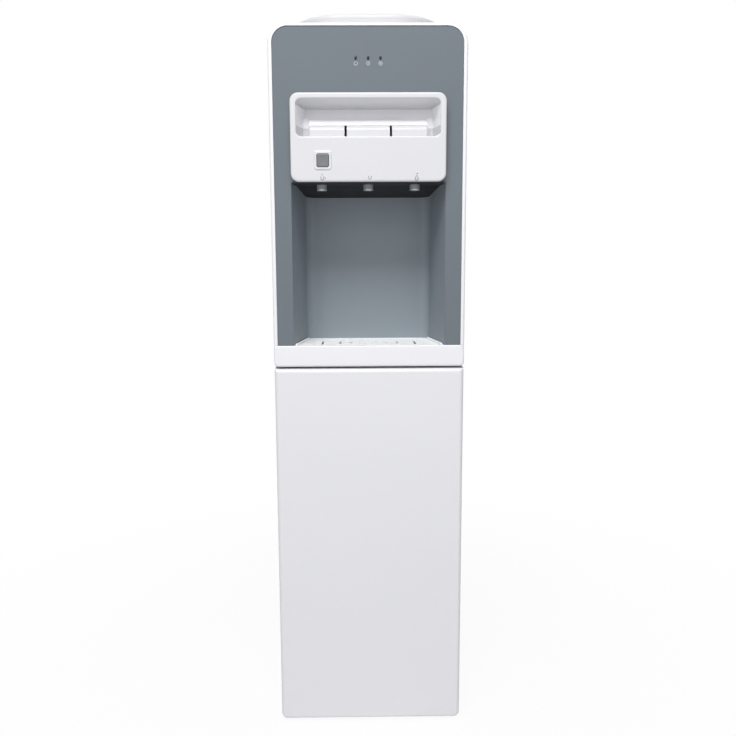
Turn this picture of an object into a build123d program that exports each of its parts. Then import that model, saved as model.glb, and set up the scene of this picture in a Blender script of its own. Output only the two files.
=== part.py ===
from build123d import *
import math
import os

# Top-loading water dispenser: three taps above a cup bay, a bottle seat on top.
# The front faces -Y, X runs to the right as seen from the front, and Z is up.
# The origin lies on the floor under the middle of the bounding box. Sizes are millimetres.

os.makedirs("parts", exist_ok=True)

# Cabinet
body_width = 270.0
body_depth = 290.0
panel_clearance = 5.0        # lower edge of the panels above the floor
lower_panel_height = 539.0
seam_gap = 2.7               # dark line between the lower panel and the tray band
band_height = 30.3
bay_height = 225.0
head_height = 92.0           # top of the tap housing to the top of the cabinet
front_depth = 20.0           # depth of the moulded front pieces
steel = 1.0                  # sheet thickness
shell = 2.5                  # moulded wall
fit = 0.3                    # gap between pieces that come apart
edge_round = 3.0
lower_edge_round = 6.0
lower_corner = 9.0
frame_corner = 27.0
rim_side = 5.5
rim_top = 4.0
fascia_recess = 1.0
fascia_thickness = 3.0
fascia_fit = 0.2

# Cup bay and drip tray
bay_width = 213.0
bay_back_width = 184.0
bay_depth = 105.0
bay_corner = 14.0
basin_depth = 25.0
basin_step = 0.5
band_round = 2.0             # upper front edge of the band
tray_drop = 1.5              # tray deck below the lip of the band
tray_deck = 3.6
rail_width = 3.0             # low rail along each side of the tray
rail_rise = 2.5              # top of the rails above the lip of the band
rail_round = 1.3
tray_wall = 1.5
tray_skirt = 5.0
tray_ledge = 2.5
tray_floor = 1.8
tray_fit = 0.4
grille_width = 160.0
grille_depth = 64.0
grille_corner = 14.0
grille_thickness = 1.8
slot_width = 3.0
slot_corner = 7.0
slot_rings = ((68.0, 24.0), (42.0, 15.5), (27.0, 7.0))   # half width and half depth of each
spine_width = 6.0            # bridges across the slots
spine_pitch = 17.0

# Tap housing
tap_proud = 12.0             # housing face in front of the cabinet face
tap_width = 211.2
tap_corner = 11.3
tap_edge_round = 2.5
tap_wall = 2.5
tap_seat = 2.5               # fascia edge behind the housing's wall
front_wall_height = 59.8     # from the housing's lower edge to the lip of the recess
recess_height = 49.4
brow_height = 7.8
recess_width = 195.6
recess_depth = 40.0
recess_slope = 6.5           # fall of the recess ceiling towards the back
scoop_foot = 14.5            # depth of the scoop's lower edge behind the housing face
scoop_rise = 16.4            # height of the scoop's lower edge above the lip
scoop_sag = 3.0
ceiling_thin = 1.2           # ceiling plate over the spouts
ceiling_flat = 46.0          # depth of that flat part
ceiling_thick = 12.0         # ceiling plate at its back edge
ceiling_setback = 2.0

# Keys
key_span = 158.6
middle_key_width = 58.4
key_slot = 3.0
key_side_gap = 0.9
key_face_gap = 1.0
key_setback = 4.0            # key face behind the housing face
key_rise = 10.7              # top of the flat key face above the lip
key_skirt = 11.0             # skirt below the lip
key_skirt_wall = 3.0
key_top_run = 16.0
key_arm_width = 26.0
key_arm_inset = 1.3          # arm inside the outer side of an outer key
key_arm_lift = 2.7           # underside of the arm above the lip
key_round = 3.0
hub_radius = 4.6
pin_radius = 1.5
pin_fit = 0.05
pin_overhang = 8.5
cheek_wall = 4.0
hinge_lift = 4.2             # hinge pin above the lip
hinge_arm = 22.0             # hinge pin behind the tap axis
nose_radius = 3.0
nose_lift = 0.8              # centre of the nose above the arm's underside

# Taps
tap_pitch = 65.0
spout_inset = 19.0           # tap axis behind the cabinet face
spout_radius = 6.8
spout_bore = 4.5
spout_reach = 9.3            # spout below the tap housing
valve_radius = 10.5
valve_flange = 13.0
valve_flange_height = 3.0
valve_top_drop = 15.8        # top of the valve body below the lip
valve_floor = 1.5
valve_chamber = 7.5
seat_height = 10.0
seat_thickness = 2.0
valve_cap = 6.0
stem_radius = 3.0
stem_fit = 0.05
stem_cap_radius = 5.2
stem_cap_height = 4.0
poppet_radius = 6.0
poppet_height = 3.2
spring_radius = 4.2
spring_wire = 0.4
spring_turns = 5
spring_gap = 0.1
barb_radius = 2.9
barb_length = 12.0
barb_shoulder = 4.0
barb_wall = 1.0
hose_radius = 5.0
hose_bore = 3.0
hose_lift = 20.0             # hoses above the ceiling plate
hose_bend = 14.0

# Lock button
lock_x = -61.0
lock_lift = 28.6             # button centre above the housing's lower edge
lock_width = 16.6
lock_height = 17.7
lock_proud = 1.5
lock_round = 1.5
lock_bezel = 4.0
lock_bezel_proud = 0.8
lock_guide = 1.6
lock_guide_length = 10.0
lock_flange = 1.8
lock_flange_height = 2.0

# Indicator lights
light_pitch = 16.7
light_width = 2.7
light_height = 4.4
light_drop = 45.0            # lights below the top of the cabinet
board_gap = 7.0
board_width = 80.0
board_height = 50.0
board_thickness = 1.6
boss_radius = 3.0
boss_margin = 6.0

# Tanks
tank_radius = 75.0
tank_wall = 1.0
tank_head_room = 46.0        # tank rim below the top of the cabinet
tank_bed = 17.0              # insulation under the tank
warm_port_run = 36.0         # warm port in front of the tank's axis
hot_feed_x = 40.0            # port that feeds the hot tank
insulation_radius = 98.0
insulation_bore = 82.2
coil_tube = 3.0
coil_gap = 0.3
coil_pitch = 9.0
coil_turns = 5
coil_lift = 12.0
lid_thickness = 3.5
lid_overlap = 5.0
neck_bore = 30.0
neck_wall = 3.0
neck_height = 16.5
baffle_lift = 60.0
baffle_fit = 1.5
hot_x = -48.0
hot_y = 50.0
hot_radius = 48.0
hot_height = 165.0
hot_lift = 38.0              # hot tank above the middle shelf
jacket_thickness = 14.0
heater_height = 40.0
shelf_thickness = 1.2
shelf_back_gap = 35.0
shelf_gap = 4.8              # hoses below the upper shelf

# Bottle collar
collar_width = 224.0
collar_corner = 80.0
collar_rise = 22.0
collar_round = 6.0
collar_wall = 3.0
bowl_radius = 92.0
throat_radius = 33.0
throat_drop = 42.0
spigot_radius = 27.0
spigot_wall = 2.5
spigot_length = 21.0
cover_skirt = 27.0
cover_hole = 74.0
spike_radius = 9.0
spike_wall = 2.0
spike_height = 36.0
spike_tip = 8.0
spike_tip_taper = 30.0
spike_holes = 6

# Cooling unit
condenser_reach = 20.0       # back panel to the rear of the condenser
condenser_tube = 2.5
wire_radius = 0.75
wire_weld = 0.1              # depth to which the wires are welded into the tube
condenser_lead = 17.0        # end of the serpentine to the upright lines
pass_pitch = 35.0
pass_count = 13
condenser_bottom = 290.0
wire_count = 14
wire_overhang = 10.0
compressor_x = 78.0
compressor_y = 60.0
compressor_height = 126.0
compressor_round = 22.0
compressor_centre_y = 55.0
mount_height = 11.5
foot_plate = 3.0
foot_plate_x = 190.0
foot_plate_y = 104.0
mount_inset = 10.0
line_bend = 9.0              # bend of the thin capillary
steel_bend = 8.0             # bend of the thicker lines
discharge_radius = 2.5
suction_radius = 3.5
capillary_radius = 1.25
dryer_radius = 8.0
dryer_length = 95.0
dryer_side_gap = 4.0         # dryer to the side panel
dryer_back_gap = 14.75       # dryer to the back panel
bay_open_top = 205.0         # lower edge of the back panel

# Back and base
base_drop = 3.0              # base plate above the panels' lower edge
base_thickness = 1.5
base_flange = 15.0
foot_radius = 14.0
foot_inset = 30.0
drain_z = 225.0
drain_radius = 8.0
drain_cap_radius = 11.0
drain_reach = 13.0           # drain fitting inside the back panel
gland_inset = 40.0           # gland from the side of the cabinet
gland_radius = 11.0
gland_bore = 4.0
switch_z = 790.0
switch_inset = 65.0          # middle of the switches from the side of the cabinet
switch_pitch = 32.0
rocker_width = 17.0
rocker_half = 6.0
rocker_reach = 4.5
rocker_dip = 1.5
rocker_back = 1.0            # the rocker narrows by this much behind
rocker_tilt = 8.0
switch_open = 14.6
switch_wall = 2.0
switch_depth = 20.0
vent_count = 8
vent_pitch = 12.0
vent_width = 70.0
vent_height = 4.0
screw_head = 4.0
screw_shank = 1.8
screw_inset = 7.0
screw_rows = 4
flange_width = 12.0

# Heights worked out from the sizes above
half_width = body_width / 2
lower_top = panel_clearance + lower_panel_height
band_bottom = lower_top + seam_gap
band_top = band_bottom + band_height
bay_top = band_top + bay_height
lip_z = bay_top + front_wall_height
recess_top = lip_z + recess_height
tap_top = recess_top + brow_height
cabinet_top = tap_top + head_height
base_z = panel_clearance + base_drop
base_top = base_z + base_thickness
basin_floor = band_top - basin_depth
hose_z = bay_top + hose_lift
upper_shelf_z = hose_z + hose_radius + shelf_gap
upper_shelf_top = upper_shelf_z + shelf_thickness
tank_bottom = upper_shelf_top + tank_bed
tank_top = cabinet_top - tank_head_room
hot_bottom = basin_floor + hot_lift
hot_top = hot_bottom + hot_height
cover_bottom = cabinet_top - cover_skirt
collar_bottom = cabinet_top + fit
collar_top = cabinet_top + collar_rise

# Depths worked out from the sizes above
total_depth = lock_proud + tap_proud + body_depth + condenser_reach
front_y = lock_proud + tap_proud - total_depth / 2
back_y = front_y + body_depth
rear_y = back_y + condenser_reach
tap_front = front_y - tap_proud
panel_front = front_y + front_depth
panel_back = back_y - steel
fascia_y = front_y + fascia_recess
fascia_back = fascia_y + fascia_thickness
bay_back = front_y + bay_depth
tap_y = front_y + spout_inset
hinge_y = tap_y + hinge_arm
hinge_z = lip_z + hinge_lift
body_y = (front_y + back_y) / 2
shelf_back = panel_back - shelf_back_gap
inner_half = half_width - steel
dryer_x = inner_half - dryer_side_gap - dryer_radius
line_y = panel_back - dryer_back_gap - dryer_radius
condenser_width = 2 * (dryer_x - condenser_lead)
gland_x = half_width - gland_inset
switch_x = half_width - switch_inset

# Tap hardware worked out from the sizes above
taps = (("hot", -tap_pitch), ("warm", 0.0), ("cold", tap_pitch))
spout_end = bay_top - spout_reach
valve_top = lip_z - valve_top_drop
seat_z = bay_top + seat_height
nose_z = lip_z + key_arm_lift + nose_lift
stem_top = nose_z - nose_radius - fit - stem_fit
cap_bottom = stem_top - stem_cap_height
outer_key_width = (key_span - middle_key_width) / 2 - key_slot
outer_key_x = (key_span - outer_key_width) / 2
outer_arm_x = (key_span - key_arm_width) / 2 - key_arm_inset
key_front = tap_front + key_setback
scoop_y = tap_front + scoop_foot
scoop_z = lip_z + scoop_rise
recess_back = tap_front + recess_depth
lock_z = bay_top + lock_lift


def front_plane(y):
    """Plane that faces the front at depth y, drawn with X to the right and Z up."""
    return Plane.XZ.offset(-y)


def side_plane(x):
    """Plane square to the width at x, drawn with Y to the right and Z up."""
    return Plane.YZ.offset(x)


def level(z):
    """Horizontal plane at height z."""
    return Plane.XY.offset(z)


def bay_half(y):
    """Half width of the cup bay at depth y: it narrows towards its back wall."""
    share = (y - front_y) / bay_depth
    return (bay_width + (bay_back_width - bay_width) * share) / 2


def bay_outline(inset, front):
    """Draw the plan of the cup bay, moved in by inset and cut off at the depth front."""
    back = bay_back - inset
    near = bay_half(front) - inset
    far = bay_half(bay_back) - inset
    with BuildSketch() as outline:
        with BuildLine():
            Polyline((-near, front), (near, front), (far, back), (-far, back), close=True)
        make_face()
        fillet(outline.vertices().group_by(Axis.Y)[-1], bay_corner - inset)
    add(outline.sketch)


def panel_outline(half, bottom, top, radius, rounded):
    """Draw a panel with the corners of one end rounded: -1 is the upper end, 0 the lower."""
    with BuildSketch() as outline:
        with Locations((0, (bottom + top) / 2)):
            Rectangle(2 * half, top - bottom)
        fillet(outline.vertices().group_by(Axis.Y)[rounded], radius)
    add(outline.sketch)


def arch(half, bottom, top, radius):
    """Draw a panel with its two upper corners rounded."""
    panel_outline(half, bottom, top, radius, -1)


def tub(half, bottom, top, radius):
    """Draw a panel with its two lower corners rounded."""
    panel_outline(half, bottom, top, radius, 0)


def polygon(*points):
    """Draw a closed outline with straight sides through the points."""
    with BuildLine() as outline:
        Polyline(*points, close=True)
    make_face(outline.edges())


def add_tube(points, bend, radius, bore=0.0):
    """Add a round tube along straight runs that are joined by arcs of one bend radius."""
    with BuildLine() as route:
        FilletPolyline(*points, radius=bend)
    with BuildSketch(Plane(origin=route.line @ 0, z_dir=route.line % 0)) as section:
        Circle(radius)
        if bore > 0:
            Circle(bore, mode=Mode.SUBTRACT)
    sweep(section.sketch, path=route.line)


def screw_heights():
    """Heights of the screws down each edge of the back panel."""
    low = bay_open_top + foot_inset
    step = (cover_bottom - foot_inset - low) / (screw_rows - 1)
    return [low + step * row for row in range(screw_rows)]


screw_places = [(side * (half_width - screw_inset), z) for side in (-1, 1) for z in screw_heights()]

# Base plate: a steel tray with upturned sides
foot_places = [
    (x, y)
    for x in (-half_width + foot_inset, half_width - foot_inset)
    for y in (panel_front + foot_inset, panel_back - foot_inset)
]
mount_places = [
    (x, y)
    for x in (-foot_plate_x / 2 + mount_inset, foot_plate_x / 2 - mount_inset)
    for y in (
        compressor_centre_y - foot_plate_y / 2 + mount_inset,
        compressor_centre_y + foot_plate_y / 2 - mount_inset,
    )
]
stud_radius = 4.0
with BuildPart() as base_plate:
    with BuildSketch(level(base_z)):
        with Locations((0, (panel_front + panel_back) / 2)):
            Rectangle(2 * inner_half, panel_back - panel_front)
    extrude(amount=base_thickness + base_flange)
    with BuildSketch(level(base_top)):
        with Locations((0, (panel_front + panel_back) / 2)):
            Rectangle(2 * (inner_half - base_thickness), panel_back - panel_front)
    extrude(amount=base_flange, mode=Mode.SUBTRACT)
    with BuildSketch(level(base_z)):
        with Locations(*foot_places):
            Circle(stud_radius + fit)
        with Locations(*mount_places):
            Circle(stud_radius + fit)
    extrude(amount=base_thickness, mode=Mode.SUBTRACT)
base_plate.part.label = "base_plate"
export_step(base_plate.part, "parts/base_plate.step")

# Rubber feet, pressed through the base plate
foot_head_radius = 6.5
foot_head_height = 3.0
foot_taper = 5.0
with BuildPart() as rubber_feet:
    for place in foot_places:
        with BuildSketch(level(0)):
            with Locations(place):
                Circle(foot_radius)
        extrude(amount=base_z, taper=foot_taper)
        with BuildSketch(level(base_z)):
            with Locations(place):
                Circle(stud_radius)
        extrude(amount=base_thickness)
        with BuildSketch(level(base_top)):
            with Locations(place):
                Circle(foot_head_radius)
        extrude(amount=foot_head_height)
rubber_feet.part.label = "rubber_feet"
export_step(rubber_feet.part, "parts/rubber_feet.step")

# Side panels: steel sheet with a rear flange that takes the screws
for name, side in (("left", -1), ("right", 1)):
    with BuildPart() as side_panel:
        with BuildSketch(side_plane(side * inner_half)):
            with Locations(((panel_front + panel_back) / 2, (panel_clearance + cover_bottom) / 2)):
                Rectangle(panel_back - panel_front, cover_bottom - panel_clearance)
        extrude(amount=side * steel)
        with BuildSketch(front_plane(panel_back)):
            with Locations(
                (side * (inner_half - flange_width / 2), (bay_open_top + cover_bottom) / 2)
            ):
                Rectangle(flange_width, cover_bottom - bay_open_top)
        extrude(amount=steel)
        with BuildSketch(front_plane(panel_back)):
            with Locations(*[place for place in screw_places if place[0] * side > 0]):
                Circle(screw_shank + fit)
        extrude(amount=steel, mode=Mode.SUBTRACT)
    side_panel.part.label = f"side_panel_{name}"
    export_step(side_panel.part, f"parts/side_panel_{name}.step")

# Back panel: vents above the condenser, openings for the switches, drain and gland
switch_places = [(switch_x - switch_pitch / 2, switch_z), (switch_x + switch_pitch / 2, switch_z)]
switch_outer_x = rocker_width + 2 * fit + 2 * switch_wall
switch_outer_z = switch_open + 2 * switch_wall
vent_top = cover_bottom - foot_inset
with BuildPart() as back_panel:
    with BuildSketch(front_plane(back_y)):
        with Locations((0, (bay_open_top + cover_bottom) / 2)):
            Rectangle(2 * (half_width - fit), cover_bottom - bay_open_top)
        with Locations(*screw_places):
            Circle(screw_shank + fit, mode=Mode.SUBTRACT)
        with Locations(*switch_places):
            Rectangle(switch_outer_x + fit, switch_outer_z + fit, mode=Mode.SUBTRACT)
        with Locations((hot_x, drain_z)):
            Circle(drain_radius + fit, mode=Mode.SUBTRACT)
        with Locations((gland_x, drain_z)):
            Circle(gland_radius - shell + fit, mode=Mode.SUBTRACT)
        for row in range(vent_count):
            with Locations((0, vent_top - vent_pitch * row)):
                with GridLocations(vent_width + foot_inset, 0, 2, 1):
                    SlotOverall(vent_width, vent_height, mode=Mode.SUBTRACT)
    extrude(amount=steel)
back_panel.part.label = "back_panel"
export_step(back_panel.part, "parts/back_panel.step")

# Lower front panel
with BuildPart() as lower_front_panel:
    with BuildSketch(front_plane(front_y)):
        tub(half_width, panel_clearance, lower_top, lower_corner)
    extrude(amount=-front_depth)
    fillet(lower_front_panel.faces().sort_by(Axis.Y)[0].edges(), lower_edge_round)
    with BuildSketch(front_plane(front_y + shell)):
        tub(
            half_width - shell,
            panel_clearance + shell,
            lower_top - shell,
            lower_corner - shell,
        )
    extrude(amount=-(front_depth - shell), mode=Mode.SUBTRACT)
lower_front_panel.part.label = "lower_front_panel"
export_step(lower_front_panel.part, "parts/lower_front_panel.step")

# Front frame: an arch round the fascia, open where it stands on the tray band
with BuildPart() as front_frame:
    with BuildSketch(front_plane(front_y)):
        arch(half_width, band_top, cabinet_top, frame_corner)
    extrude(amount=-front_depth)
    frame_rim = front_frame.faces().sort_by(Axis.Y)[0].edges()
    fillet(frame_rim.filter_by(lambda edge: edge.center().Z > band_top + fit), edge_round)
    with BuildSketch(front_plane(front_y)):
        arch(half_width - rim_side, band_top, cabinet_top - rim_top, frame_corner - rim_side)
    extrude(amount=-front_depth, mode=Mode.SUBTRACT)
    with BuildSketch(front_plane(fascia_back)):
        arch(half_width - shell, band_top, cabinet_top - shell, frame_corner - shell)
    extrude(amount=-(front_y + front_depth - fascia_back), mode=Mode.SUBTRACT)
front_frame.part.label = "front_frame"
export_step(front_frame.part, "parts/front_frame.step")

# Fascia: the grey panel with the walls of the cup bay moulded to its back
light_z = cabinet_top - light_drop
board_y = fascia_back + board_gap
boss_places = [
    (x, light_z + z)
    for x in (boss_margin - board_width / 2, board_width / 2 - boss_margin)
    for z in (boss_margin - board_height / 2, board_height / 2 - boss_margin)
]
light_places = [(light_pitch * step, light_z) for step in (-1, 0, 1)]
tap_opening = tap_width - 2 * (tap_wall + tap_seat)
with BuildPart() as fascia:
    with BuildSketch(front_plane(fascia_y)):
        arch(
            half_width - rim_side - fascia_fit,
            band_top,
            cabinet_top - rim_top - fascia_fit,
            frame_corner - rim_side,
        )
    extrude(amount=-fascia_thickness)
    with BuildSketch(level(band_top)):
        bay_outline(-shell, fascia_y)
    extrude(amount=bay_height)
    with BuildSketch(level(band_top)):
        bay_outline(0, front_y)
    extrude(amount=bay_height, mode=Mode.SUBTRACT)
    with BuildSketch(front_plane(fascia_y)):
        with Locations((0, (bay_top + tap_top - tap_wall) / 2)):
            Rectangle(tap_opening, tap_top - tap_wall - bay_top)
        with Locations(*light_places):
            SlotOverall(light_height, light_width, rotation=90)
    extrude(amount=-fascia_thickness, mode=Mode.SUBTRACT)
    with BuildSketch(front_plane(fascia_back)):
        with Locations(*boss_places):
            Circle(boss_radius)
    extrude(amount=-board_gap)
fascia.part.label = "fascia"
export_step(fascia.part, "parts/fascia.step")

# Tray housing: the white band with the basin that the drip tray drops into
basin_front = front_y + collar_wall
with BuildPart() as tray_housing:
    with BuildSketch(front_plane(front_y)):
        tub(half_width, band_bottom, band_top, lower_edge_round)
    extrude(amount=-front_depth)
    band_rim = tray_housing.faces().sort_by(Axis.Y)[0].edges()
    fillet(band_rim.filter_by(lambda edge: edge.center().Z < band_top - fit), edge_round)
    fillet(tray_housing.faces().sort_by(Axis.Z)[-1].edges().sort_by(Axis.Y)[0], band_round)
    with BuildSketch(front_plane(basin_front)):
        tub(half_width - shell, band_bottom + shell, band_top - shell, lower_edge_round - shell)
    extrude(amount=-(panel_front - basin_front), mode=Mode.SUBTRACT)
    with BuildSketch(level(basin_floor)):
        bay_outline(-shell, basin_front)
    extrude(amount=basin_depth)
    with BuildSketch(level(basin_floor + shell)):
        bay_outline(basin_step, basin_front)
    extrude(amount=basin_depth - shell, mode=Mode.SUBTRACT)
tray_housing.part.label = "tray_housing"
export_step(tray_housing.part, "parts/tray_housing.step")

# Drip tray: a deck with a skirt and two low rails, and a tub below the opening for the grille
tray_inset = basin_step + tray_fit
tray_front = basin_front + fit
tray_bottom = basin_floor + shell + fit
tray_top = band_top - tray_drop
deck_bottom = tray_top - tray_deck
grille_bottom = tray_top - grille_thickness
grille_y = (tray_front + bay_back - tray_inset) / 2
with BuildPart() as drip_tray:
    with BuildSketch(level(deck_bottom - tray_skirt)):
        bay_outline(tray_inset, tray_front)
    extrude(amount=tray_skirt + tray_deck)
    with BuildSketch(level(deck_bottom - tray_skirt)):
        bay_outline(tray_inset + tray_wall, tray_front + tray_wall)
    extrude(amount=tray_skirt, mode=Mode.SUBTRACT)
    with BuildSketch(level(tray_top)):
        bay_outline(tray_inset, tray_front + rail_width)
    extrude(amount=tray_drop + rail_rise)
    with BuildSketch(level(tray_top)):
        bay_outline(tray_inset + rail_width, tray_front)
        with Locations((0, bay_back)):
            Rectangle(bay_width, 2 * bay_corner)
    extrude(amount=tray_drop + rail_rise, mode=Mode.SUBTRACT)
    fillet(drip_tray.edges().group_by(Axis.Z)[-1], rail_round)
    for bottom, height, grow, mode in (
        (tray_bottom, deck_bottom - tray_bottom, tray_wall - tray_ledge, Mode.ADD),
        (tray_bottom + tray_floor, tray_top - tray_bottom, -tray_ledge, Mode.SUBTRACT),
        (grille_bottom - fit, grille_thickness + fit, fit, Mode.SUBTRACT),
    ):
        with BuildSketch(level(bottom)):
            with Locations((0, grille_y)):
                RectangleRounded(
                    grille_width + 2 * grow, grille_depth + 2 * grow, grille_corner + grow
                )
        extrude(amount=height, mode=mode)
drip_tray.part.label = "drip_tray"
export_step(drip_tray.part, "parts/drip_tray.step")

# Drip grille: three slots, one inside the other, bridged by short spines
with BuildPart() as drip_grille:
    with BuildSketch(level(grille_bottom)):
        with Locations((0, grille_y)):
            RectangleRounded(grille_width, grille_depth, grille_corner)
            for half_x, half_y in slot_rings:
                RectangleRounded(
                    2 * half_x + slot_width,
                    2 * half_y + slot_width,
                    slot_corner,
                    mode=Mode.SUBTRACT,
                )
                RectangleRounded(
                    2 * half_x - slot_width, 2 * half_y - slot_width, slot_corner - slot_width
                )
            with GridLocations(spine_pitch, 0, 3, 1):
                Rectangle(spine_width, 2 * slot_rings[0][1] + slot_width)
    extrude(amount=grille_thickness)
drip_grille.part.label = "drip_grille"
export_step(drip_grille.part, "parts/drip_grille.step")

# Top cover, with the opening that the bottle collar drops into
with BuildPart() as top_cover:
    with BuildSketch(front_plane(panel_front)):
        arch(half_width, cover_bottom, cabinet_top, frame_corner)
    extrude(amount=-(back_y - panel_front))
    with BuildSketch(front_plane(panel_front)):
        arch(half_width - shell, cover_bottom, cabinet_top - shell, frame_corner - shell)
    extrude(amount=-(back_y - shell - panel_front), mode=Mode.SUBTRACT)
    with BuildSketch(level(cabinet_top - shell)):
        with Locations((0, body_y)):
            Circle(cover_hole)
    extrude(amount=shell, mode=Mode.SUBTRACT)
top_cover.part.label = "top_cover"
export_step(top_cover.part, "parts/top_cover.step")

# Middle shelf, under the tray basin and the hot tank
hot_out_x = -tap_pitch
with BuildPart() as mid_shelf:
    with BuildSketch(level(basin_floor - shelf_thickness)):
        with Locations((0, (panel_front + shelf_back) / 2)):
            Rectangle(2 * inner_half, shelf_back - panel_front)
        with Locations((hot_x, hot_y)):
            Circle(hose_radius + shell, mode=Mode.SUBTRACT)
    extrude(amount=shelf_thickness)
mid_shelf.part.label = "mid_shelf"
export_step(mid_shelf.part, "parts/mid_shelf.step")

# Upper shelf, under the cold tank, with a hole for each hose
port_places = ((0.0, body_y - warm_port_run), (tap_pitch, body_y), (hot_feed_x, hot_y))
port_hole = hose_radius + shell
upper_shelf_front = body_y - insulation_radius
with BuildPart() as upper_shelf:
    with BuildSketch(level(upper_shelf_z)):
        with Locations((0, (upper_shelf_front + shelf_back) / 2)):
            Rectangle(2 * inner_half, shelf_back - upper_shelf_front)
        with Locations(*port_places):
            Circle(port_hole, mode=Mode.SUBTRACT)
    extrude(amount=shelf_thickness)
upper_shelf.part.label = "upper_shelf"
export_step(upper_shelf.part, "parts/upper_shelf.step")


def recess_profile(wall):
    """Draw the finger recess from the side, grown by wall: lip, ceiling, scoop and floor."""
    slope_back = scoop_y + wall
    with BuildLine() as outline:
        Line((tap_front, lip_z - wall), (tap_front, recess_top + wall))
        Line(
            (tap_front, recess_top + wall),
            (recess_back + wall, recess_top - recess_slope + wall),
        )
        SagittaArc(
            (recess_back + wall, recess_top - recess_slope + wall),
            (slope_back, scoop_z),
            -scoop_sag,
        )
        Line((slope_back, scoop_z), (slope_back, lip_z - wall))
        Line((slope_back, lip_z - wall), (tap_front, lip_z - wall))
    make_face(outline.edges())


# Tap housing: outer skin, finger recess with its scoop, key slot, lock guide and pin cheeks
tap_mid_z = (bay_top + tap_top) / 2
tap_height = tap_top - bay_top
slot_half = key_span / 2 + key_side_gap
cheek_inner = slot_half + shell
with BuildPart() as tap_housing:
    with BuildSketch(front_plane(tap_front)):
        with Locations((0, tap_mid_z)):
            RectangleRounded(tap_width, tap_height, tap_corner)
    extrude(amount=-(fascia_y - tap_front))
    fillet(tap_housing.faces().sort_by(Axis.Y)[0].edges(), tap_edge_round)
    with BuildSketch(front_plane(tap_front + tap_wall)):
        with Locations((0, tap_mid_z)):
            RectangleRounded(
                tap_width - 2 * tap_wall, tap_height - 2 * tap_wall, tap_corner - tap_wall
            )
    extrude(amount=-(fascia_y - tap_front - tap_wall), mode=Mode.SUBTRACT)
    with BuildSketch(side_plane(0)):
        recess_profile(tap_wall)
    extrude(amount=recess_width / 2 + tap_wall, both=True)
    with BuildSketch(side_plane(0)):
        recess_profile(0)
    extrude(amount=recess_width / 2, both=True, mode=Mode.SUBTRACT)
    with BuildSketch(side_plane(0)):
        with Locations((key_front - key_face_gap, scoop_z)):
            Rectangle(
                hinge_arm + recess_depth,
                scoop_z - lip_z + key_skirt + hinge_lift,
                align=(Align.MIN, Align.MAX),
            )
    extrude(amount=slot_half, both=True, mode=Mode.SUBTRACT)
    with BuildSketch(front_plane(tap_front - lock_bezel_proud)):
        with Locations((lock_x, lock_z)):
            RectangleRounded(
                lock_width + 2 * lock_bezel, lock_height + 2 * lock_bezel, lock_bezel
            )
    extrude(amount=-(lock_bezel_proud + tap_wall))
    with BuildSketch(front_plane(tap_front + tap_wall)):
        with Locations((lock_x, lock_z)):
            Rectangle(
                lock_width + 2 * (lock_guide + fit), lock_height + 2 * (lock_guide + fit)
            )
    extrude(amount=-lock_guide_length)
    with BuildSketch(front_plane(tap_front - lock_bezel_proud)):
        with Locations((lock_x, lock_z)):
            Rectangle(lock_width + 2 * fit, lock_height + 2 * fit)
    extrude(amount=-(lock_bezel_proud + tap_wall + lock_guide_length), mode=Mode.SUBTRACT)
    for side in (-1, 1):
        with BuildSketch(side_plane(side * cheek_inner)):
            polygon(
                (scoop_y, lip_z - tap_wall),
                (hinge_y + hub_radius, hinge_z - hub_radius),
                (hinge_y + hub_radius, hinge_z + hub_radius),
                (scoop_y + tap_wall, scoop_z),
                (scoop_y, scoop_z),
            )
            with Locations((hinge_y, hinge_z)):
                Circle(pin_radius + pin_fit, mode=Mode.SUBTRACT)
        extrude(amount=side * cheek_wall)
tap_housing.part.label = "tap_housing"
export_step(tap_housing.part, "parts/tap_housing.step")

# Ceiling plate: the dark underside of the tap housing and roof of the cup bay
with BuildPart() as ceiling_plate:
    with BuildSketch(side_plane(0)):
        polygon(
            (tap_front + ceiling_setback, bay_top),
            (tap_front + ceiling_setback, bay_top - ceiling_thin),
            (tap_front + ceiling_flat, bay_top - ceiling_thin),
            (bay_back - fit, bay_top - ceiling_thick),
            (bay_back - fit, bay_top),
        )
    extrude(amount=tap_width / 2 - ceiling_setback, both=True)
    with BuildSketch(level(bay_top - ceiling_thick)):
        bay_outline(fit, fascia_y - fit)
        with Locations((0, (tap_front + fascia_y - fit) / 2)):
            Rectangle(tap_width - 2 * ceiling_setback, fascia_y - fit - tap_front)
        with Locations(*[(x, tap_y) for tap, x in taps]):
            Circle(spout_radius + fit, mode=Mode.SUBTRACT)
    extrude(amount=ceiling_thick, mode=Mode.INTERSECT)
ceiling_plate.part.label = "ceiling_plate"
export_step(ceiling_plate.part, "parts/ceiling_plate.step")

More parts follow.
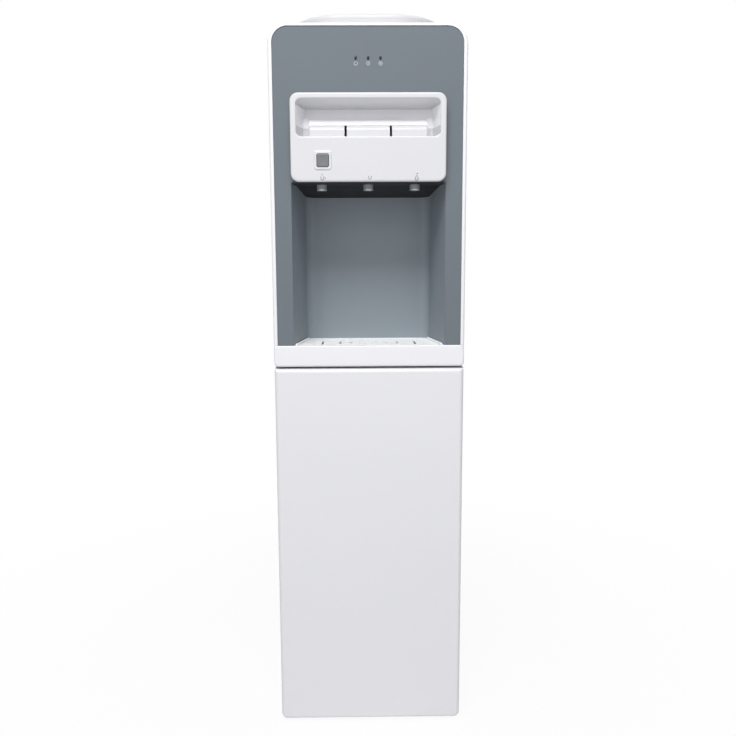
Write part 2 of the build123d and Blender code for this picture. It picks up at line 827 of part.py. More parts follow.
# Valve bodies: flange, chamber with its seat, spout below and hose barb behind
hose_start = tap_y + valve_radius + barb_shoulder
chamber_side = tap_y + valve_chamber - barb_wall
barb_end = hose_start + barb_length
for tap, x in taps:
    with BuildPart() as valve_body:
        with BuildSketch(level(bay_top)):
            with Locations((x, tap_y)):
                Circle(valve_flange)
        extrude(amount=valve_flange_height)
        with BuildSketch(level(bay_top)):
            with Locations((x, tap_y)):
                Circle(valve_radius)
        extrude(amount=valve_top - bay_top)
        with BuildSketch(level(spout_end)):
            with Locations((x, tap_y)):
                Circle(spout_radius)
        extrude(amount=spout_reach)
        with BuildSketch(front_plane(tap_y)):
            with Locations((x, hose_z)):
                Circle(hose_radius)
        extrude(amount=-(hose_start - tap_y))
        with BuildSketch(front_plane(hose_start)):
            with Locations((x, hose_z)):
                Circle(barb_radius)
        extrude(amount=-barb_length)
        with BuildSketch(level(bay_top + valve_floor)):
            with Locations((x, tap_y)):
                Circle(valve_chamber)
        extrude(amount=seat_height - valve_floor, mode=Mode.SUBTRACT)
        with BuildSketch(level(seat_z + seat_thickness)):
            with Locations((x, tap_y)):
                Circle(valve_chamber)
        extrude(amount=valve_top - valve_cap - seat_z - seat_thickness, mode=Mode.SUBTRACT)
        with BuildSketch(level(spout_end)):
            with Locations((x, tap_y)):
                Circle(spout_bore)
        extrude(amount=seat_z + seat_thickness - spout_end, mode=Mode.SUBTRACT)
        with BuildSketch(level(valve_top - valve_cap)):
            with Locations((x, tap_y)):
                Circle(stem_radius + stem_fit)
        extrude(amount=valve_cap, mode=Mode.SUBTRACT)
        with BuildSketch(front_plane(chamber_side)):
            with Locations((x, hose_z)):
                Circle(barb_radius - barb_wall)
        extrude(amount=-(barb_end - chamber_side), mode=Mode.SUBTRACT)
    valve_body.part.label = f"valve_body_{tap}"
    export_step(valve_body.part, f"parts/valve_body_{tap}.step")

    with BuildPart() as valve_stem:
        with BuildSketch(level(seat_z - fit - poppet_height)):
            with Locations((x, tap_y)):
                Circle(poppet_radius)
        extrude(amount=poppet_height)
        with BuildSketch(level(seat_z - fit)):
            with Locations((x, tap_y)):
                Circle(stem_radius)
        extrude(amount=stem_top - seat_z + fit)
        with BuildSketch(level(cap_bottom)):
            with Locations((x, tap_y)):
                Circle(stem_cap_radius)
        extrude(amount=stem_cap_height)
    valve_stem.part.label = f"valve_stem_{tap}"
    export_step(valve_stem.part, f"parts/valve_stem_{tap}.step")

    spring_height = cap_bottom - valve_top - 2 * (spring_wire + spring_gap)
    with BuildPart() as valve_spring:
        with BuildLine() as winding:
            Helix(
                pitch=spring_height / spring_turns,
                height=spring_height,
                radius=spring_radius,
                center=(x, tap_y, valve_top + spring_wire + spring_gap),
            )
        with BuildSketch(Plane(origin=winding.line @ 0, z_dir=winding.line % 0)):
            Circle(spring_wire)
        sweep(path=winding.line, is_frenet=True)
    valve_spring.part.label = f"valve_spring_{tap}"
    export_step(valve_spring.part, f"parts/valve_spring_{tap}.step")

# Keys: a paddle with its skirt behind the lip, and an arm back to the hinge pin
key_top = lip_z + key_rise
paddle_back = key_front + key_top_run
key_back_z = scoop_z - 2 * fit
arm_bottom = lip_z + key_arm_lift
for tap, x in taps:
    key_width = middle_key_width if tap == "warm" else outer_key_width
    key_x = math.copysign(outer_key_x, x) if x else 0.0
    arm_x = math.copysign(outer_arm_x, x) if x else 0.0
    with BuildPart() as key:
        with BuildSketch(side_plane(key_x)):
            polygon(
                (key_front, lip_z - key_skirt),
                (key_front, key_top),
                (scoop_y - fit, key_back_z),
                (paddle_back, key_back_z),
                (paddle_back, arm_bottom),
                (key_front + key_skirt_wall, arm_bottom),
                (key_front + key_skirt_wall, lip_z - key_skirt),
            )
        extrude(amount=key_width / 2, both=True)
        key_crown = key.edges().filter_by(Axis.X).group_by(Axis.Y)[0].sort_by(Axis.Z)[-1]
        fillet(key_crown, key_round)
        with BuildSketch(side_plane(arm_x)):
            polygon(
                (paddle_back, key_back_z - fit),
                (hinge_y, hinge_z + hub_radius),
                (hinge_y, arm_bottom),
                (paddle_back, arm_bottom),
            )
        extrude(amount=key_arm_width / 2, both=True)
        with BuildSketch(side_plane(arm_x)):
            with Locations((hinge_y, hinge_z)):
                Circle(hub_radius)
            with Locations((tap_y, nose_z)):
                Circle(nose_radius)
        extrude(amount=key_arm_width / 2, both=True)
        with BuildSketch(side_plane(arm_x)):
            with Locations((hinge_y, hinge_z)):
                Circle(pin_radius + pin_fit)
        extrude(amount=key_arm_width / 2, both=True, mode=Mode.SUBTRACT)
    key.part.label = f"key_{tap}"
    export_step(key.part, f"parts/key_{tap}.step")

# Hinge pin shared by the three keys
with BuildPart() as key_pin:
    with BuildSketch(side_plane(0)):
        with Locations((hinge_y, hinge_z)):
            Circle(pin_radius)
    extrude(amount=cheek_inner + pin_overhang, both=True)
key_pin.part.label = "key_pin"
export_step(key_pin.part, "parts/key_pin.step")

# Lock button: a square plunger in its guide, kept in by a flange behind
lock_back = tap_front + tap_wall + lock_guide_length + fit
with BuildPart() as lock_button:
    with BuildSketch(front_plane(tap_front - lock_proud)):
        with Locations((lock_x, lock_z)):
            Rectangle(lock_width, lock_height)
    extrude(amount=-(lock_back - tap_front + lock_proud))
    fillet(lock_button.faces().sort_by(Axis.Y)[0].edges(), lock_round)
    with BuildSketch(front_plane(lock_back)):
        with Locations((lock_x, lock_z)):
            Rectangle(lock_width + 2 * lock_flange, lock_height + 2 * lock_flange)
    extrude(amount=-lock_flange_height)
lock_button.part.label = "lock_button"
export_step(lock_button.part, "parts/lock_button.step")

# Light pipes, from the control board to the face of the fascia
led_height = 1.2
pipe_proud = 0.2
with BuildPart() as light_pipes:
    with BuildSketch(front_plane(fascia_y - pipe_proud)):
        with Locations(*light_places):
            SlotOverall(light_height - pipe_proud, light_width - pipe_proud, rotation=90)
    extrude(amount=-(board_y - led_height - fascia_y + pipe_proud))
light_pipes.part.label = "light_pipes"
export_step(light_pipes.part, "parts/light_pipes.step")

# Control board on the bosses of the fascia, with its lights, chip and connectors
chip_size = 12.0
connector_width = 22.0
connector_height = 7.0
connector_depth = 8.0
connector_drop = 17.0
with BuildPart() as control_board:
    with BuildSketch(front_plane(board_y)):
        with Locations((0, light_z)):
            Rectangle(board_width, board_height)
    extrude(amount=-board_thickness)
    with BuildSketch(front_plane(board_y)):
        with Locations(*light_places):
            Rectangle(light_width, light_width)
    extrude(amount=led_height)
    with BuildSketch(front_plane(board_y + board_thickness)):
        with Locations((0, light_z)):
            Rectangle(chip_size, chip_size)
    extrude(amount=-led_height)
    with BuildSketch(front_plane(board_y + board_thickness)):
        with Locations((0, light_z - connector_drop)):
            with GridLocations(connector_width + boss_margin, 0, 2, 1):
                Rectangle(connector_width, connector_height)
    extrude(amount=-connector_depth)
control_board.part.label = "control_board"
export_step(control_board.part, "parts/control_board.step")

# Cold tank: open stainless cup with a stub for each hose
stub_length = 14.0
with BuildPart() as cold_tank:
    with BuildSketch(level(tank_bottom)):
        with Locations((0, body_y)):
            Circle(tank_radius)
    extrude(amount=tank_top - tank_bottom)
    with BuildSketch(level(tank_bottom + tank_wall)):
        with Locations((0, body_y)):
            Circle(tank_radius - tank_wall)
    extrude(amount=tank_top - tank_bottom - tank_wall, mode=Mode.SUBTRACT)
    with BuildSketch(level(tank_bottom)):
        with Locations(*port_places):
            Circle(barb_radius)
    extrude(amount=-stub_length)
    with BuildSketch(level(tank_bottom + tank_wall)):
        with Locations(*port_places):
            Circle(barb_radius - barb_wall)
    extrude(amount=-(stub_length + tank_wall), mode=Mode.SUBTRACT)
cold_tank.part.label = "cold_tank"
export_step(cold_tank.part, "parts/cold_tank.step")

# Tank lid with the neck that the collar's spigot enters
lid_top = tank_top + lid_thickness
with BuildPart() as tank_lid:
    with BuildSketch(level(tank_top)):
        with Locations((0, body_y)):
            Circle(tank_radius + lid_overlap)
            Circle(neck_bore, mode=Mode.SUBTRACT)
    extrude(amount=lid_thickness)
    with BuildSketch(level(lid_top)):
        with Locations((0, body_y)):
            Circle(neck_bore + neck_wall)
            Circle(neck_bore, mode=Mode.SUBTRACT)
    extrude(amount=neck_height)
tank_lid.part.label = "tank_lid"
export_step(tank_lid.part, "parts/tank_lid.step")

# Neck seal: a silicone ring inside the neck
seal_gap = 0.45
seal_height = 5.0
with BuildPart() as neck_seal:
    with BuildSketch(level(lid_top + seal_height)):
        with Locations((0, body_y)):
            Circle(neck_bore)
            Circle(spigot_radius + seal_gap, mode=Mode.SUBTRACT)
    extrude(amount=seal_height)
neck_seal.part.label = "neck_seal"
export_step(neck_seal.part, "parts/neck_seal.step")

# Baffle that keeps the chilled water below the fresh water, on a standpipe and two posts
baffle_z = tank_bottom + tank_wall + baffle_lift
standpipe_radius = 4.0
post_spread = 52.0
post_run = 20.0
baffle_holes = 6
post_places = [(side * post_spread, body_y + post_run) for side in (-1, 1)]
with BuildPart() as tank_baffle:
    with BuildSketch(level(baffle_z)):
        with Locations((0, body_y)):
            Circle(tank_radius - tank_wall - baffle_fit)
            Circle(2 * standpipe_radius, mode=Mode.SUBTRACT)
            with PolarLocations(tank_radius / 2, baffle_holes):
                Circle(standpipe_radius, mode=Mode.SUBTRACT)
    extrude(amount=baffle_fit)
    with BuildSketch(level(tank_bottom + tank_wall)):
        with Locations(port_places[0]):
            Circle(standpipe_radius)
        with Locations(*post_places):
            Circle(standpipe_radius)
    extrude(amount=baffle_lift)
    with BuildSketch(level(tank_bottom + tank_wall)):
        with Locations(port_places[0]):
            Circle(standpipe_radius - barb_wall)
    extrude(amount=baffle_lift + baffle_fit, mode=Mode.SUBTRACT)
tank_baffle.part.label = "tank_baffle"
export_step(tank_baffle.part, "parts/tank_baffle.step")

# Evaporator coil round the cold tank
coil_radius = tank_radius + coil_gap + coil_tube
coil_bottom = tank_bottom + coil_lift
with BuildPart() as evaporator_coil:
    with BuildLine() as coil_path:
        Helix(
            pitch=coil_pitch,
            height=coil_pitch * coil_turns,
            radius=coil_radius,
            center=(0, body_y, coil_bottom),
        )
    with BuildSketch(Plane(origin=coil_path.line @ 0, z_dir=coil_path.line % 0)):
        Circle(coil_tube)
    sweep(path=coil_path.line, is_frenet=True)
evaporator_coil.part.label = "evaporator_coil"
export_step(evaporator_coil.part, "parts/evaporator_coil.step")

# Insulation: two foam halves round the cold tank
suction_z = coil_bottom
capillary_z = coil_bottom + coil_pitch * coil_turns
for name, side in (("left", Keep.BOTTOM), ("right", Keep.TOP)):
    with BuildPart() as insulation:
        with BuildSketch(level(upper_shelf_top)):
            with Locations((0, body_y)):
                Circle(insulation_radius)
            with Locations(*port_places):
                Circle(port_hole, mode=Mode.SUBTRACT)
        extrude(amount=tank_bottom - upper_shelf_top)
        with BuildSketch(level(tank_bottom)):
            with Locations((0, body_y)):
                Circle(insulation_radius)
                Circle(insulation_bore, mode=Mode.SUBTRACT)
        extrude(amount=tank_top - tank_bottom)
        with BuildSketch(side_plane(tank_radius)):
            with Locations((body_y, suction_z), (body_y, capillary_z)):
                Circle(suction_radius + fit)
        extrude(amount=insulation_radius - tank_radius + shell, mode=Mode.SUBTRACT)
        split(bisect_by=Plane.YZ, keep=side)
    insulation.part.label = f"insulation_{name}"
    export_step(insulation.part, f"parts/insulation_{name}.step")

# Hot tank: closed stainless can with an outlet, a feed stub and a drain stub
feed_lift = 16.0             # feed stub above the floor of the hot tank
feed_z = hot_bottom + feed_lift
with BuildPart() as hot_tank:
    with BuildSketch(level(hot_bottom)):
        with Locations((hot_x, hot_y)):
            Circle(hot_radius)
    extrude(amount=hot_height)
    with BuildSketch(level(hot_top)):
        with Locations((hot_out_x, hot_y)):
            Circle(barb_radius)
    extrude(amount=jacket_thickness + stub_length)
    with BuildSketch(level(hot_bottom)):
        with Locations((hot_x, hot_y)):
            Circle(barb_radius)
    extrude(amount=-(jacket_thickness + stub_length))
    with BuildSketch(side_plane(hot_x + hot_radius - shell)):
        with Locations((hot_y, feed_z)):
            Circle(barb_radius)
    extrude(amount=jacket_thickness + stub_length + shell)
    with BuildSketch(level(hot_bottom + tank_wall)):
        with Locations((hot_x, hot_y)):
            Circle(hot_radius - tank_wall)
    extrude(amount=hot_height - 2 * tank_wall, mode=Mode.SUBTRACT)
    with BuildSketch(level(hot_top - tank_wall)):
        with Locations((hot_out_x, hot_y)):
            Circle(barb_radius - barb_wall)
    extrude(amount=tank_wall + jacket_thickness + stub_length, mode=Mode.SUBTRACT)
    with BuildSketch(level(hot_bottom + tank_wall)):
        with Locations((hot_x, hot_y)):
            Circle(barb_radius - barb_wall)
    extrude(amount=-(tank_wall + jacket_thickness + stub_length), mode=Mode.SUBTRACT)
    with BuildSketch(side_plane(hot_x + hot_radius - 2 * tank_wall)):
        with Locations((hot_y, feed_z)):
            Circle(barb_radius - barb_wall)
    extrude(amount=jacket_thickness + stub_length + 2 * tank_wall, mode=Mode.SUBTRACT)
hot_tank.part.label = "hot_tank"
export_step(hot_tank.part, "parts/hot_tank.step")

# Heater band round the foot of the hot tank
band_gap = 0.3
band_thickness = 3.0
heater_gap = 6.0
heater_z = feed_z + hose_radius + heater_gap
with BuildPart() as heater_band:
    with BuildSketch(level(heater_z)):
        with Locations((hot_x, hot_y)):
            Circle(hot_radius + band_gap + band_thickness)
            Circle(hot_radius + band_gap, mode=Mode.SUBTRACT)
    extrude(amount=heater_height)
heater_band.part.label = "heater_band"
export_step(heater_band.part, "parts/heater_band.step")

# Thermostats on the lid of the hot tank
thermostat_radius = 7.0
thermostat_flange = 3.0
thermostat_height = 9.0
thermostat_places = [
    (hot_x + 2 * thermostat_radius, hot_y + side * 2 * thermostat_radius) for side in (-1, 1)
]
with BuildPart() as thermostats:
    with BuildSketch(level(hot_top)):
        with Locations(*thermostat_places):
            Circle(thermostat_radius)
    extrude(amount=thermostat_flange)
    with BuildSketch(level(hot_top)):
        with Locations(*thermostat_places):
            Circle(thermostat_radius - tank_wall)
    extrude(amount=thermostat_height)
thermostats.part.label = "thermostats"
export_step(thermostats.part, "parts/thermostats.step")

# Jacket: foam shell round the hot tank
with BuildPart() as hot_tank_jacket:
    with BuildSketch(level(hot_bottom - jacket_thickness)):
        with Locations((hot_x, hot_y)):
            Circle(hot_radius + jacket_thickness)
    extrude(amount=hot_height + 2 * jacket_thickness)
    with BuildSketch(level(hot_bottom)):
        with Locations((hot_x, hot_y)):
            Circle(hot_radius + band_gap + band_thickness + fit)
    extrude(amount=hot_height + thermostat_height + fit, mode=Mode.SUBTRACT)
    with BuildSketch(level(hot_bottom - jacket_thickness)):
        with Locations((hot_x, hot_y), (hot_out_x, hot_y)):
            Circle(barb_radius + fit)
    extrude(amount=hot_height + 2 * jacket_thickness, mode=Mode.SUBTRACT)
    with BuildSketch(side_plane(hot_x + hot_radius)):
        with Locations((hot_y, feed_z)):
            Circle(barb_radius + fit)
    extrude(amount=2 * jacket_thickness, mode=Mode.SUBTRACT)
hot_tank_jacket.part.label = "hot_tank_jacket"
export_step(hot_tank_jacket.part, "parts/hot_tank_jacket.step")

# Bracket that stands the hot tank on the middle shelf
bracket_leg = 6.0
jacket_bottom = hot_bottom - jacket_thickness
leg_count = 4
leg_start = 45.0
with BuildPart() as hot_tank_bracket:
    with BuildSketch(level(jacket_bottom - shell)):
        with Locations((hot_x, hot_y)):
            Circle(hot_radius)
            Circle(hose_radius + shell, mode=Mode.SUBTRACT)
    extrude(amount=shell)
    with BuildSketch(level(basin_floor)):
        with Locations((hot_x, hot_y)):
            with PolarLocations(hot_radius - bracket_leg, leg_count, start_angle=leg_start):
                Rectangle(bracket_leg, 2 * bracket_leg)
    extrude(amount=jacket_bottom - shell - basin_floor)
hot_tank_bracket.part.label = "hot_tank_bracket"
export_step(hot_tank_bracket.part, "parts/hot_tank_bracket.step")

# Water hoses: cold tank to the cold and warm taps, hot tank to the hot tap, feed and drain
hose_end = hose_start + fit
drain_start = back_y - drain_reach
hose_sleeve = tank_bottom - shell
with BuildPart() as water_hoses:
    add_tube(
        [(tap_pitch, hose_end, hose_z), (tap_pitch, body_y, hose_z), (tap_pitch, body_y, hose_sleeve)],
        hose_bend, hose_radius, hose_bore,
    )
    add_tube(
        [(0, hose_end, hose_z), (0, port_places[0][1], hose_z), (0, port_places[0][1], hose_sleeve)],
        hose_bend, hose_radius, hose_bore,
    )
    add_tube(
        [
            (hot_out_x, hose_end, hose_z),
            (hot_out_x, hot_y, hose_z),
            (hot_out_x, hot_y, hot_top + jacket_thickness + fit),
        ],
        hose_bend, hose_radius, hose_bore,
    )
    add_tube(
        [
            (hot_feed_x, hot_y, hose_sleeve),
            (hot_feed_x, hot_y, feed_z),
            (hot_x + hot_radius + jacket_thickness + fit, hot_y, feed_z),
        ],
        hose_bend, hose_radius, hose_bore,
    )
    add_tube(
        [
            (hot_x, hot_y, jacket_bottom - fit),
            (hot_x, hot_y, drain_z),
            (hot_x, drain_start, drain_z),
        ],
        hose_bend, hose_radius, hose_bore,
    )
water_hoses.part.label = "water_hoses"
export_step(water_hoses.part, "parts/water_hoses.step")

# Bottle collar: rounded square skirt, bowl for the bottle's shoulder and a spigot below
bowl_z = collar_top - collar_wall
throat_z = collar_top - throat_drop
with BuildPart() as bottle_collar:
    with BuildSketch(level(collar_bottom)):
        with Locations((0, body_y)):
            RectangleRounded(collar_width, collar_width, collar_corner)
    extrude(amount=collar_top - collar_bottom)
    fillet(bottle_collar.faces().sort_by(Axis.Z)[-1].edges(), collar_round)
    with BuildSketch(level(collar_bottom)):
        with Locations((0, body_y)):
            RectangleRounded(
                collar_width - 2 * collar_wall,
                collar_width - 2 * collar_wall,
                collar_corner - collar_wall,
            )
    extrude(amount=bowl_z - collar_bottom - collar_wall, mode=Mode.SUBTRACT)
    with BuildSketch(level(collar_bottom)):
        with Locations((0, body_y)):
            Circle(bowl_radius)
    extrude(amount=collar_top - collar_bottom, mode=Mode.SUBTRACT)
    with BuildSketch(front_plane(body_y)):
        polygon(
            (spigot_radius - spigot_wall, throat_z - spigot_length),
            (spigot_radius, throat_z - spigot_length),
            (spigot_radius, throat_z - 2 * collar_wall),
            (throat_radius + collar_wall, throat_z - collar_wall),
            (bowl_radius + collar_wall, bowl_z - collar_wall),
            (bowl_radius + collar_wall, bowl_z),
            (bowl_radius, collar_top - collar_wall / 2),
            (throat_radius, throat_z),
            (spigot_radius - spigot_wall, throat_z - collar_wall),
        )
    revolve(axis=Axis((0, body_y, 0), (0, 0, 1)))
bottle_collar.part.label = "bottle_collar"
export_step(bottle_collar.part, "parts/bottle_collar.step")

# Feed spike: tube with side windows and a pointed cap, held in the spigot by its flange
spike_base = throat_z - collar_wall - spigot_length / 2
spike_flange = 3.0
window_width = 5.0
window_height = 14.0
spike_foot = (0, body_y, 0)
with BuildPart() as feed_spike:
    with BuildSketch(level(spike_base)):
        with Locations((0, body_y)):
            Circle(spigot_radius - spigot_wall - fit)
            with PolarLocations((spigot_radius + spike_radius) / 2, spike_holes):
                Circle(spike_wall, mode=Mode.SUBTRACT)
    extrude(amount=spike_flange)
    with BuildSketch(level(spike_base)):
        with Locations((0, body_y)):
            Circle(spike_radius)
    extrude(amount=spike_flange + spike_height)
    with BuildSketch(level(spike_base + spike_flange + spike_height)):
        with Locations((0, body_y)):
            Circle(spike_radius)
    extrude(amount=spike_tip, taper=spike_tip_taper)
    with BuildSketch(level(spike_base)):
        with Locations((0, body_y)):
            Circle(spike_radius - spike_wall)
    extrude(amount=spike_flange + spike_height, mode=Mode.SUBTRACT)
    for window_plane in (Plane.XZ, Plane.YZ):
        with BuildSketch(Plane(origin=spike_foot, x_dir=window_plane.x_dir, z_dir=window_plane.z_dir)):
            with Locations((0, spike_base + spike_flange + spike_height - window_height)):
                SlotOverall(window_height, window_width, rotation=90)
        extrude(amount=spike_radius, both=True, mode=Mode.SUBTRACT)
feed_spike.part.label = "feed_spike"
export_step(feed_spike.part, "parts/feed_spike.step")

# Compressor: sealed oval shell on a foot plate, with a seam flange, terminal box and stubs
plate_z = base_top + mount_height
can_z = plate_z + foot_plate
seam_z = can_z + compressor_height / 2
stub_radius = 4.0
suction_stub_radius = 5.0
suction_x = dryer_x - dryer_radius - suction_radius - 2 * shell
port_length = 5.0
discharge_lift = 12.0
suction_lift = 24.0
discharge_z = seam_z + discharge_lift
suction_port_z = seam_z + suction_lift
terminal_width = 34.0
terminal_height = 40.0
terminal_depth = 14.0
with BuildPart() as compressor:
    with BuildSketch(level(can_z)):
        with Locations((0, compressor_centre_y)):
            Ellipse(compressor_x, compressor_y)
    extrude(amount=compressor_height)
    fillet(compressor.faces().sort_by(Axis.Z)[-1].edges(), compressor_round)
    fillet(compressor.faces().sort_by(Axis.Z)[0].edges(), compressor_round / 2)
    with BuildSketch(level(seam_z)):
        with Locations((0, compressor_centre_y)):
            Ellipse(compressor_x + shell, compressor_y + shell)
    extrude(amount=shell)
    with BuildSketch(level(plate_z)):
        with Locations((0, compressor_centre_y)):
            RectangleRounded(foot_plate_x, foot_plate_y, mount_inset)
        with Locations(*mount_places):
            Circle(stud_radius + fit, mode=Mode.SUBTRACT)
    extrude(amount=foot_plate)
    with BuildSketch(front_plane(compressor_centre_y + compressor_y - 2 * shell)):
        with Locations((0, seam_z - terminal_height / 2 + shell)):
            Rectangle(terminal_width, terminal_height)
    extrude(amount=-(terminal_depth + 2 * shell))
    with BuildSketch(side_plane(shell - compressor_x)):
        with Locations((compressor_centre_y, discharge_z)):
            Circle(stub_radius)
    extrude(amount=-(port_length + shell))
    with BuildSketch(side_plane(compressor_x - shell)):
        with Locations((compressor_centre_y, suction_port_z)):
            Circle(suction_stub_radius)
    extrude(amount=port_length + shell)
compressor.part.label = "compressor"
export_step(compressor.part, "parts/compressor.step")

# Compressor mounts: rubber sleeves between the base and the foot plate, with their heads
mount_radius = 9.0
with BuildPart() as compressor_mounts:
    for place in mount_places:
        with BuildSketch(level(base_top)):
            with Locations(place):
                Circle(mount_radius)
        extrude(amount=mount_height)
        with BuildSketch(level(base_z)):
            with Locations(place):
                Circle(stud_radius)
        extrude(amount=base_thickness + mount_height + foot_plate)
        with BuildSketch(level(can_z)):
            with Locations(place):
                Circle(mount_radius - shell)
        extrude(amount=foot_plate)
compressor_mounts.part.label = "compressor_mounts"
export_step(compressor_mounts.part, "parts/compressor_mounts.step")

# Condenser: one serpentine tube between two rows of upright wires
wire_offset = condenser_tube + wire_radius
condenser_y = rear_y - wire_radius - wire_offset + wire_weld
condenser_top = condenser_bottom + pass_pitch * (pass_count - 1)
pass_end = condenser_width / 2 - pass_pitch / 2
wire_rows = 2 * (wire_offset - wire_weld)
wire_low = condenser_bottom - wire_overhang
wire_high = condenser_top + wire_overhang
with BuildPart() as condenser:
    with BuildLine() as serpentine:
        for row in range(pass_count):
            pass_z = condenser_bottom + pass_pitch * row
            way = 1 if row % 2 == 0 else -1
            first = (-way * condenser_width / 2 if row == 0 else -way * pass_end)
            last = (way * condenser_width / 2 if row == pass_count - 1 else way * pass_end)
            Line((first, condenser_y, pass_z), (last, condenser_y, pass_z))
            if row < pass_count - 1:
                ThreePointArc(
                    (last, condenser_y, pass_z),
                    (last + way * pass_pitch / 2, condenser_y, pass_z + pass_pitch / 2),
                    (last, condenser_y, pass_z + pass_pitch),
                )
    with BuildSketch(side_plane(-condenser_width / 2)):
        with Locations((condenser_y, condenser_bottom)):
            Circle(condenser_tube)
    sweep(path=serpentine.wires()[0])
    with BuildSketch(level(wire_low)):
        with Locations((0, condenser_y)):
            with GridLocations(2 * pass_end / (wire_count - 1), wire_rows, wire_count, 2):
                Circle(wire_radius)
    extrude(amount=wire_high - wire_low)
condenser.part.label = "condenser"
export_step(condenser.part, "parts/condenser.step")

# Condenser brackets, from the back panel to the wires
bracket_width = 14.0
bracket_height = 10.0
wire_front = condenser_y - wire_rows / 2 - wire_radius
with BuildPart() as condenser_brackets:
    with BuildSketch(front_plane(back_y)):
        for z in (condenser_bottom + pass_pitch / 2, condenser_top - pass_pitch / 2):
            with Locations((0, z)):
                with GridLocations(condenser_width - 2 * pass_pitch, 0, 2, 1):
                    Rectangle(bracket_width, bracket_height)
    extrude(amount=-(wire_front - back_y))
condenser_brackets.part.label = "condenser_brackets"
export_step(condenser_brackets.part, "parts/condenser_brackets.step")

# Filter dryer: copper can with tapered ends
dryer_bottom = bay_open_top - dryer_length + 2 * dryer_radius
dryer_top = dryer_bottom + dryer_length
dryer_taper = 6.0
dryer_shoulder = 5.0
with BuildPart() as filter_dryer:
    with BuildSketch(level(dryer_bottom)):
        with Locations((dryer_x, line_y)):
            Circle(dryer_radius)
    extrude(amount=dryer_length)
    chamfer(filter_dryer.edges().filter_by(GeomType.CIRCLE), dryer_taper, dryer_shoulder)
filter_dryer.part.label = "filter_dryer"
export_step(filter_dryer.part, "parts/filter_dryer.step")

# Refrigerant lines: discharge, liquid, capillary and suction
coil_edge = coil_radius + coil_tube
suction_bend_z = suction_port_z + 3 * line_bend
with BuildPart() as refrigerant_lines:
    add_tube(
        [
            (-compressor_x - port_length, compressor_centre_y, discharge_z),
            (-dryer_x, compressor_centre_y, discharge_z),
            (-dryer_x, condenser_y, discharge_z),
            (-dryer_x, condenser_y, condenser_bottom),
            (-condenser_width / 2, condenser_y, condenser_bottom),
        ],
        steel_bend, discharge_radius,
    )
    add_tube(
        [
            (condenser_width / 2, condenser_y, condenser_top),
            (dryer_x, condenser_y, condenser_top),
            (dryer_x, condenser_y, dryer_bottom - 2 * line_bend),
            (dryer_x, line_y, dryer_bottom - 2 * line_bend),
            (dryer_x, line_y, dryer_bottom),
        ],
        steel_bend, discharge_radius,
    )
    add_tube(
        [
            (dryer_x, line_y, dryer_top),
            (dryer_x, line_y, capillary_z),
            (dryer_x, body_y, capillary_z),
            (coil_edge, body_y, capillary_z),
        ],
        line_bend, capillary_radius,
    )
    add_tube(
        [
            (coil_edge, body_y, suction_z),
            (suction_x, body_y, suction_z),
            (suction_x, line_y, suction_z),
            (suction_x, line_y, suction_bend_z),
            (suction_x, compressor_centre_y, suction_bend_z),
            (suction_x, compressor_centre_y, suction_port_z),
            (compressor_x + port_length, compressor_centre_y, suction_port_z),
        ],
        steel_bend, suction_radius,
    )
refrigerant_lines.part.label = "refrigerant_lines"
export_step(refrigerant_lines.part, "parts/refrigerant_lines.step")

# Drain fitting through the back panel, and its cap
fitting_proud = 14.0
nut_sides = 6
cap_end = 3.5
with BuildPart() as drain_fitting:
    with BuildSketch(front_plane(drain_start)):
        with Locations((hot_x, drain_z)):
            Circle(drain_radius)
    extrude(amount=-(back_y - drain_start + fitting_proud))
    with BuildSketch(front_plane(back_y)):
        with Locations((hot_x, drain_z)):
            Circle(drain_radius + 2 * shell)
    extrude(amount=-shell)
    with BuildSketch(front_plane(panel_back)):
        with Locations((hot_x, drain_z)):
            RegularPolygon(drain_radius + 2 * shell, nut_sides)
    extrude(amount=2 * shell)
    with BuildSketch(front_plane(drain_start)):
        with Locations((hot_x, drain_z)):
            Circle(hose_bore)
    extrude(amount=-(back_y - drain_start + fitting_proud), mode=Mode.SUBTRACT)
drain_fitting.part.label = "drain_fitting"
export_step(drain_fitting.part, "parts/drain_fitting.step")

cap_y = back_y + shell + fit
grip_count = 24
with BuildPart() as drain_cap:
    with BuildSketch(front_plane(cap_y)):
        with Locations((hot_x, drain_z)):
            Circle(drain_cap_radius)
            with PolarLocations(drain_cap_radius, grip_count):
                Circle(2 * fit, mode=Mode.SUBTRACT)
    extrude(amount=-(back_y + fitting_proud + fit + cap_end - cap_y))
    with BuildSketch(front_plane(cap_y)):
        with Locations((hot_x, drain_z)):
            Circle(drain_radius + fit)
    extrude(amount=-(back_y + fitting_proud + fit - cap_y), mode=Mode.SUBTRACT)
drain_cap.part.label = "drain_cap"
export_step(drain_cap.part, "parts/drain_cap.step")

# Switch housings in the back panel
rocker_y = back_y - steel
pivot_radius = 1.2
pivot_length = 1.2
with BuildPart() as switch_housings:
    with BuildSketch(front_plane(back_y)):
        with Locations(*switch_places):
            Rectangle(switch_outer_x + 2 * switch_wall, switch_outer_z + 2 * switch_wall)
    extrude(amount=-switch_wall)
    with BuildSketch(front_plane(back_y)):
        with Locations(*switch_places):
            Rectangle(switch_outer_x, switch_outer_z)
    extrude(amount=switch_depth)
    with BuildSketch(front_plane(back_y + switch_wall)):
        with Locations(*switch_places):
            Rectangle(rocker_width + 2 * fit, switch_open)
    extrude(amount=switch_depth, mode=Mode.SUBTRACT)
    for x, z in switch_places:
        with BuildSketch(side_plane(x)):
            with Locations((rocker_y, z)):
                Circle(pivot_radius + pin_fit)
        extrude(amount=rocker_width / 2 + pivot_length + fit, both=True, mode=Mode.SUBTRACT)
switch_housings.part.label = "switch_housings"
export_step(switch_housings.part, "parts/switch_housings.step")

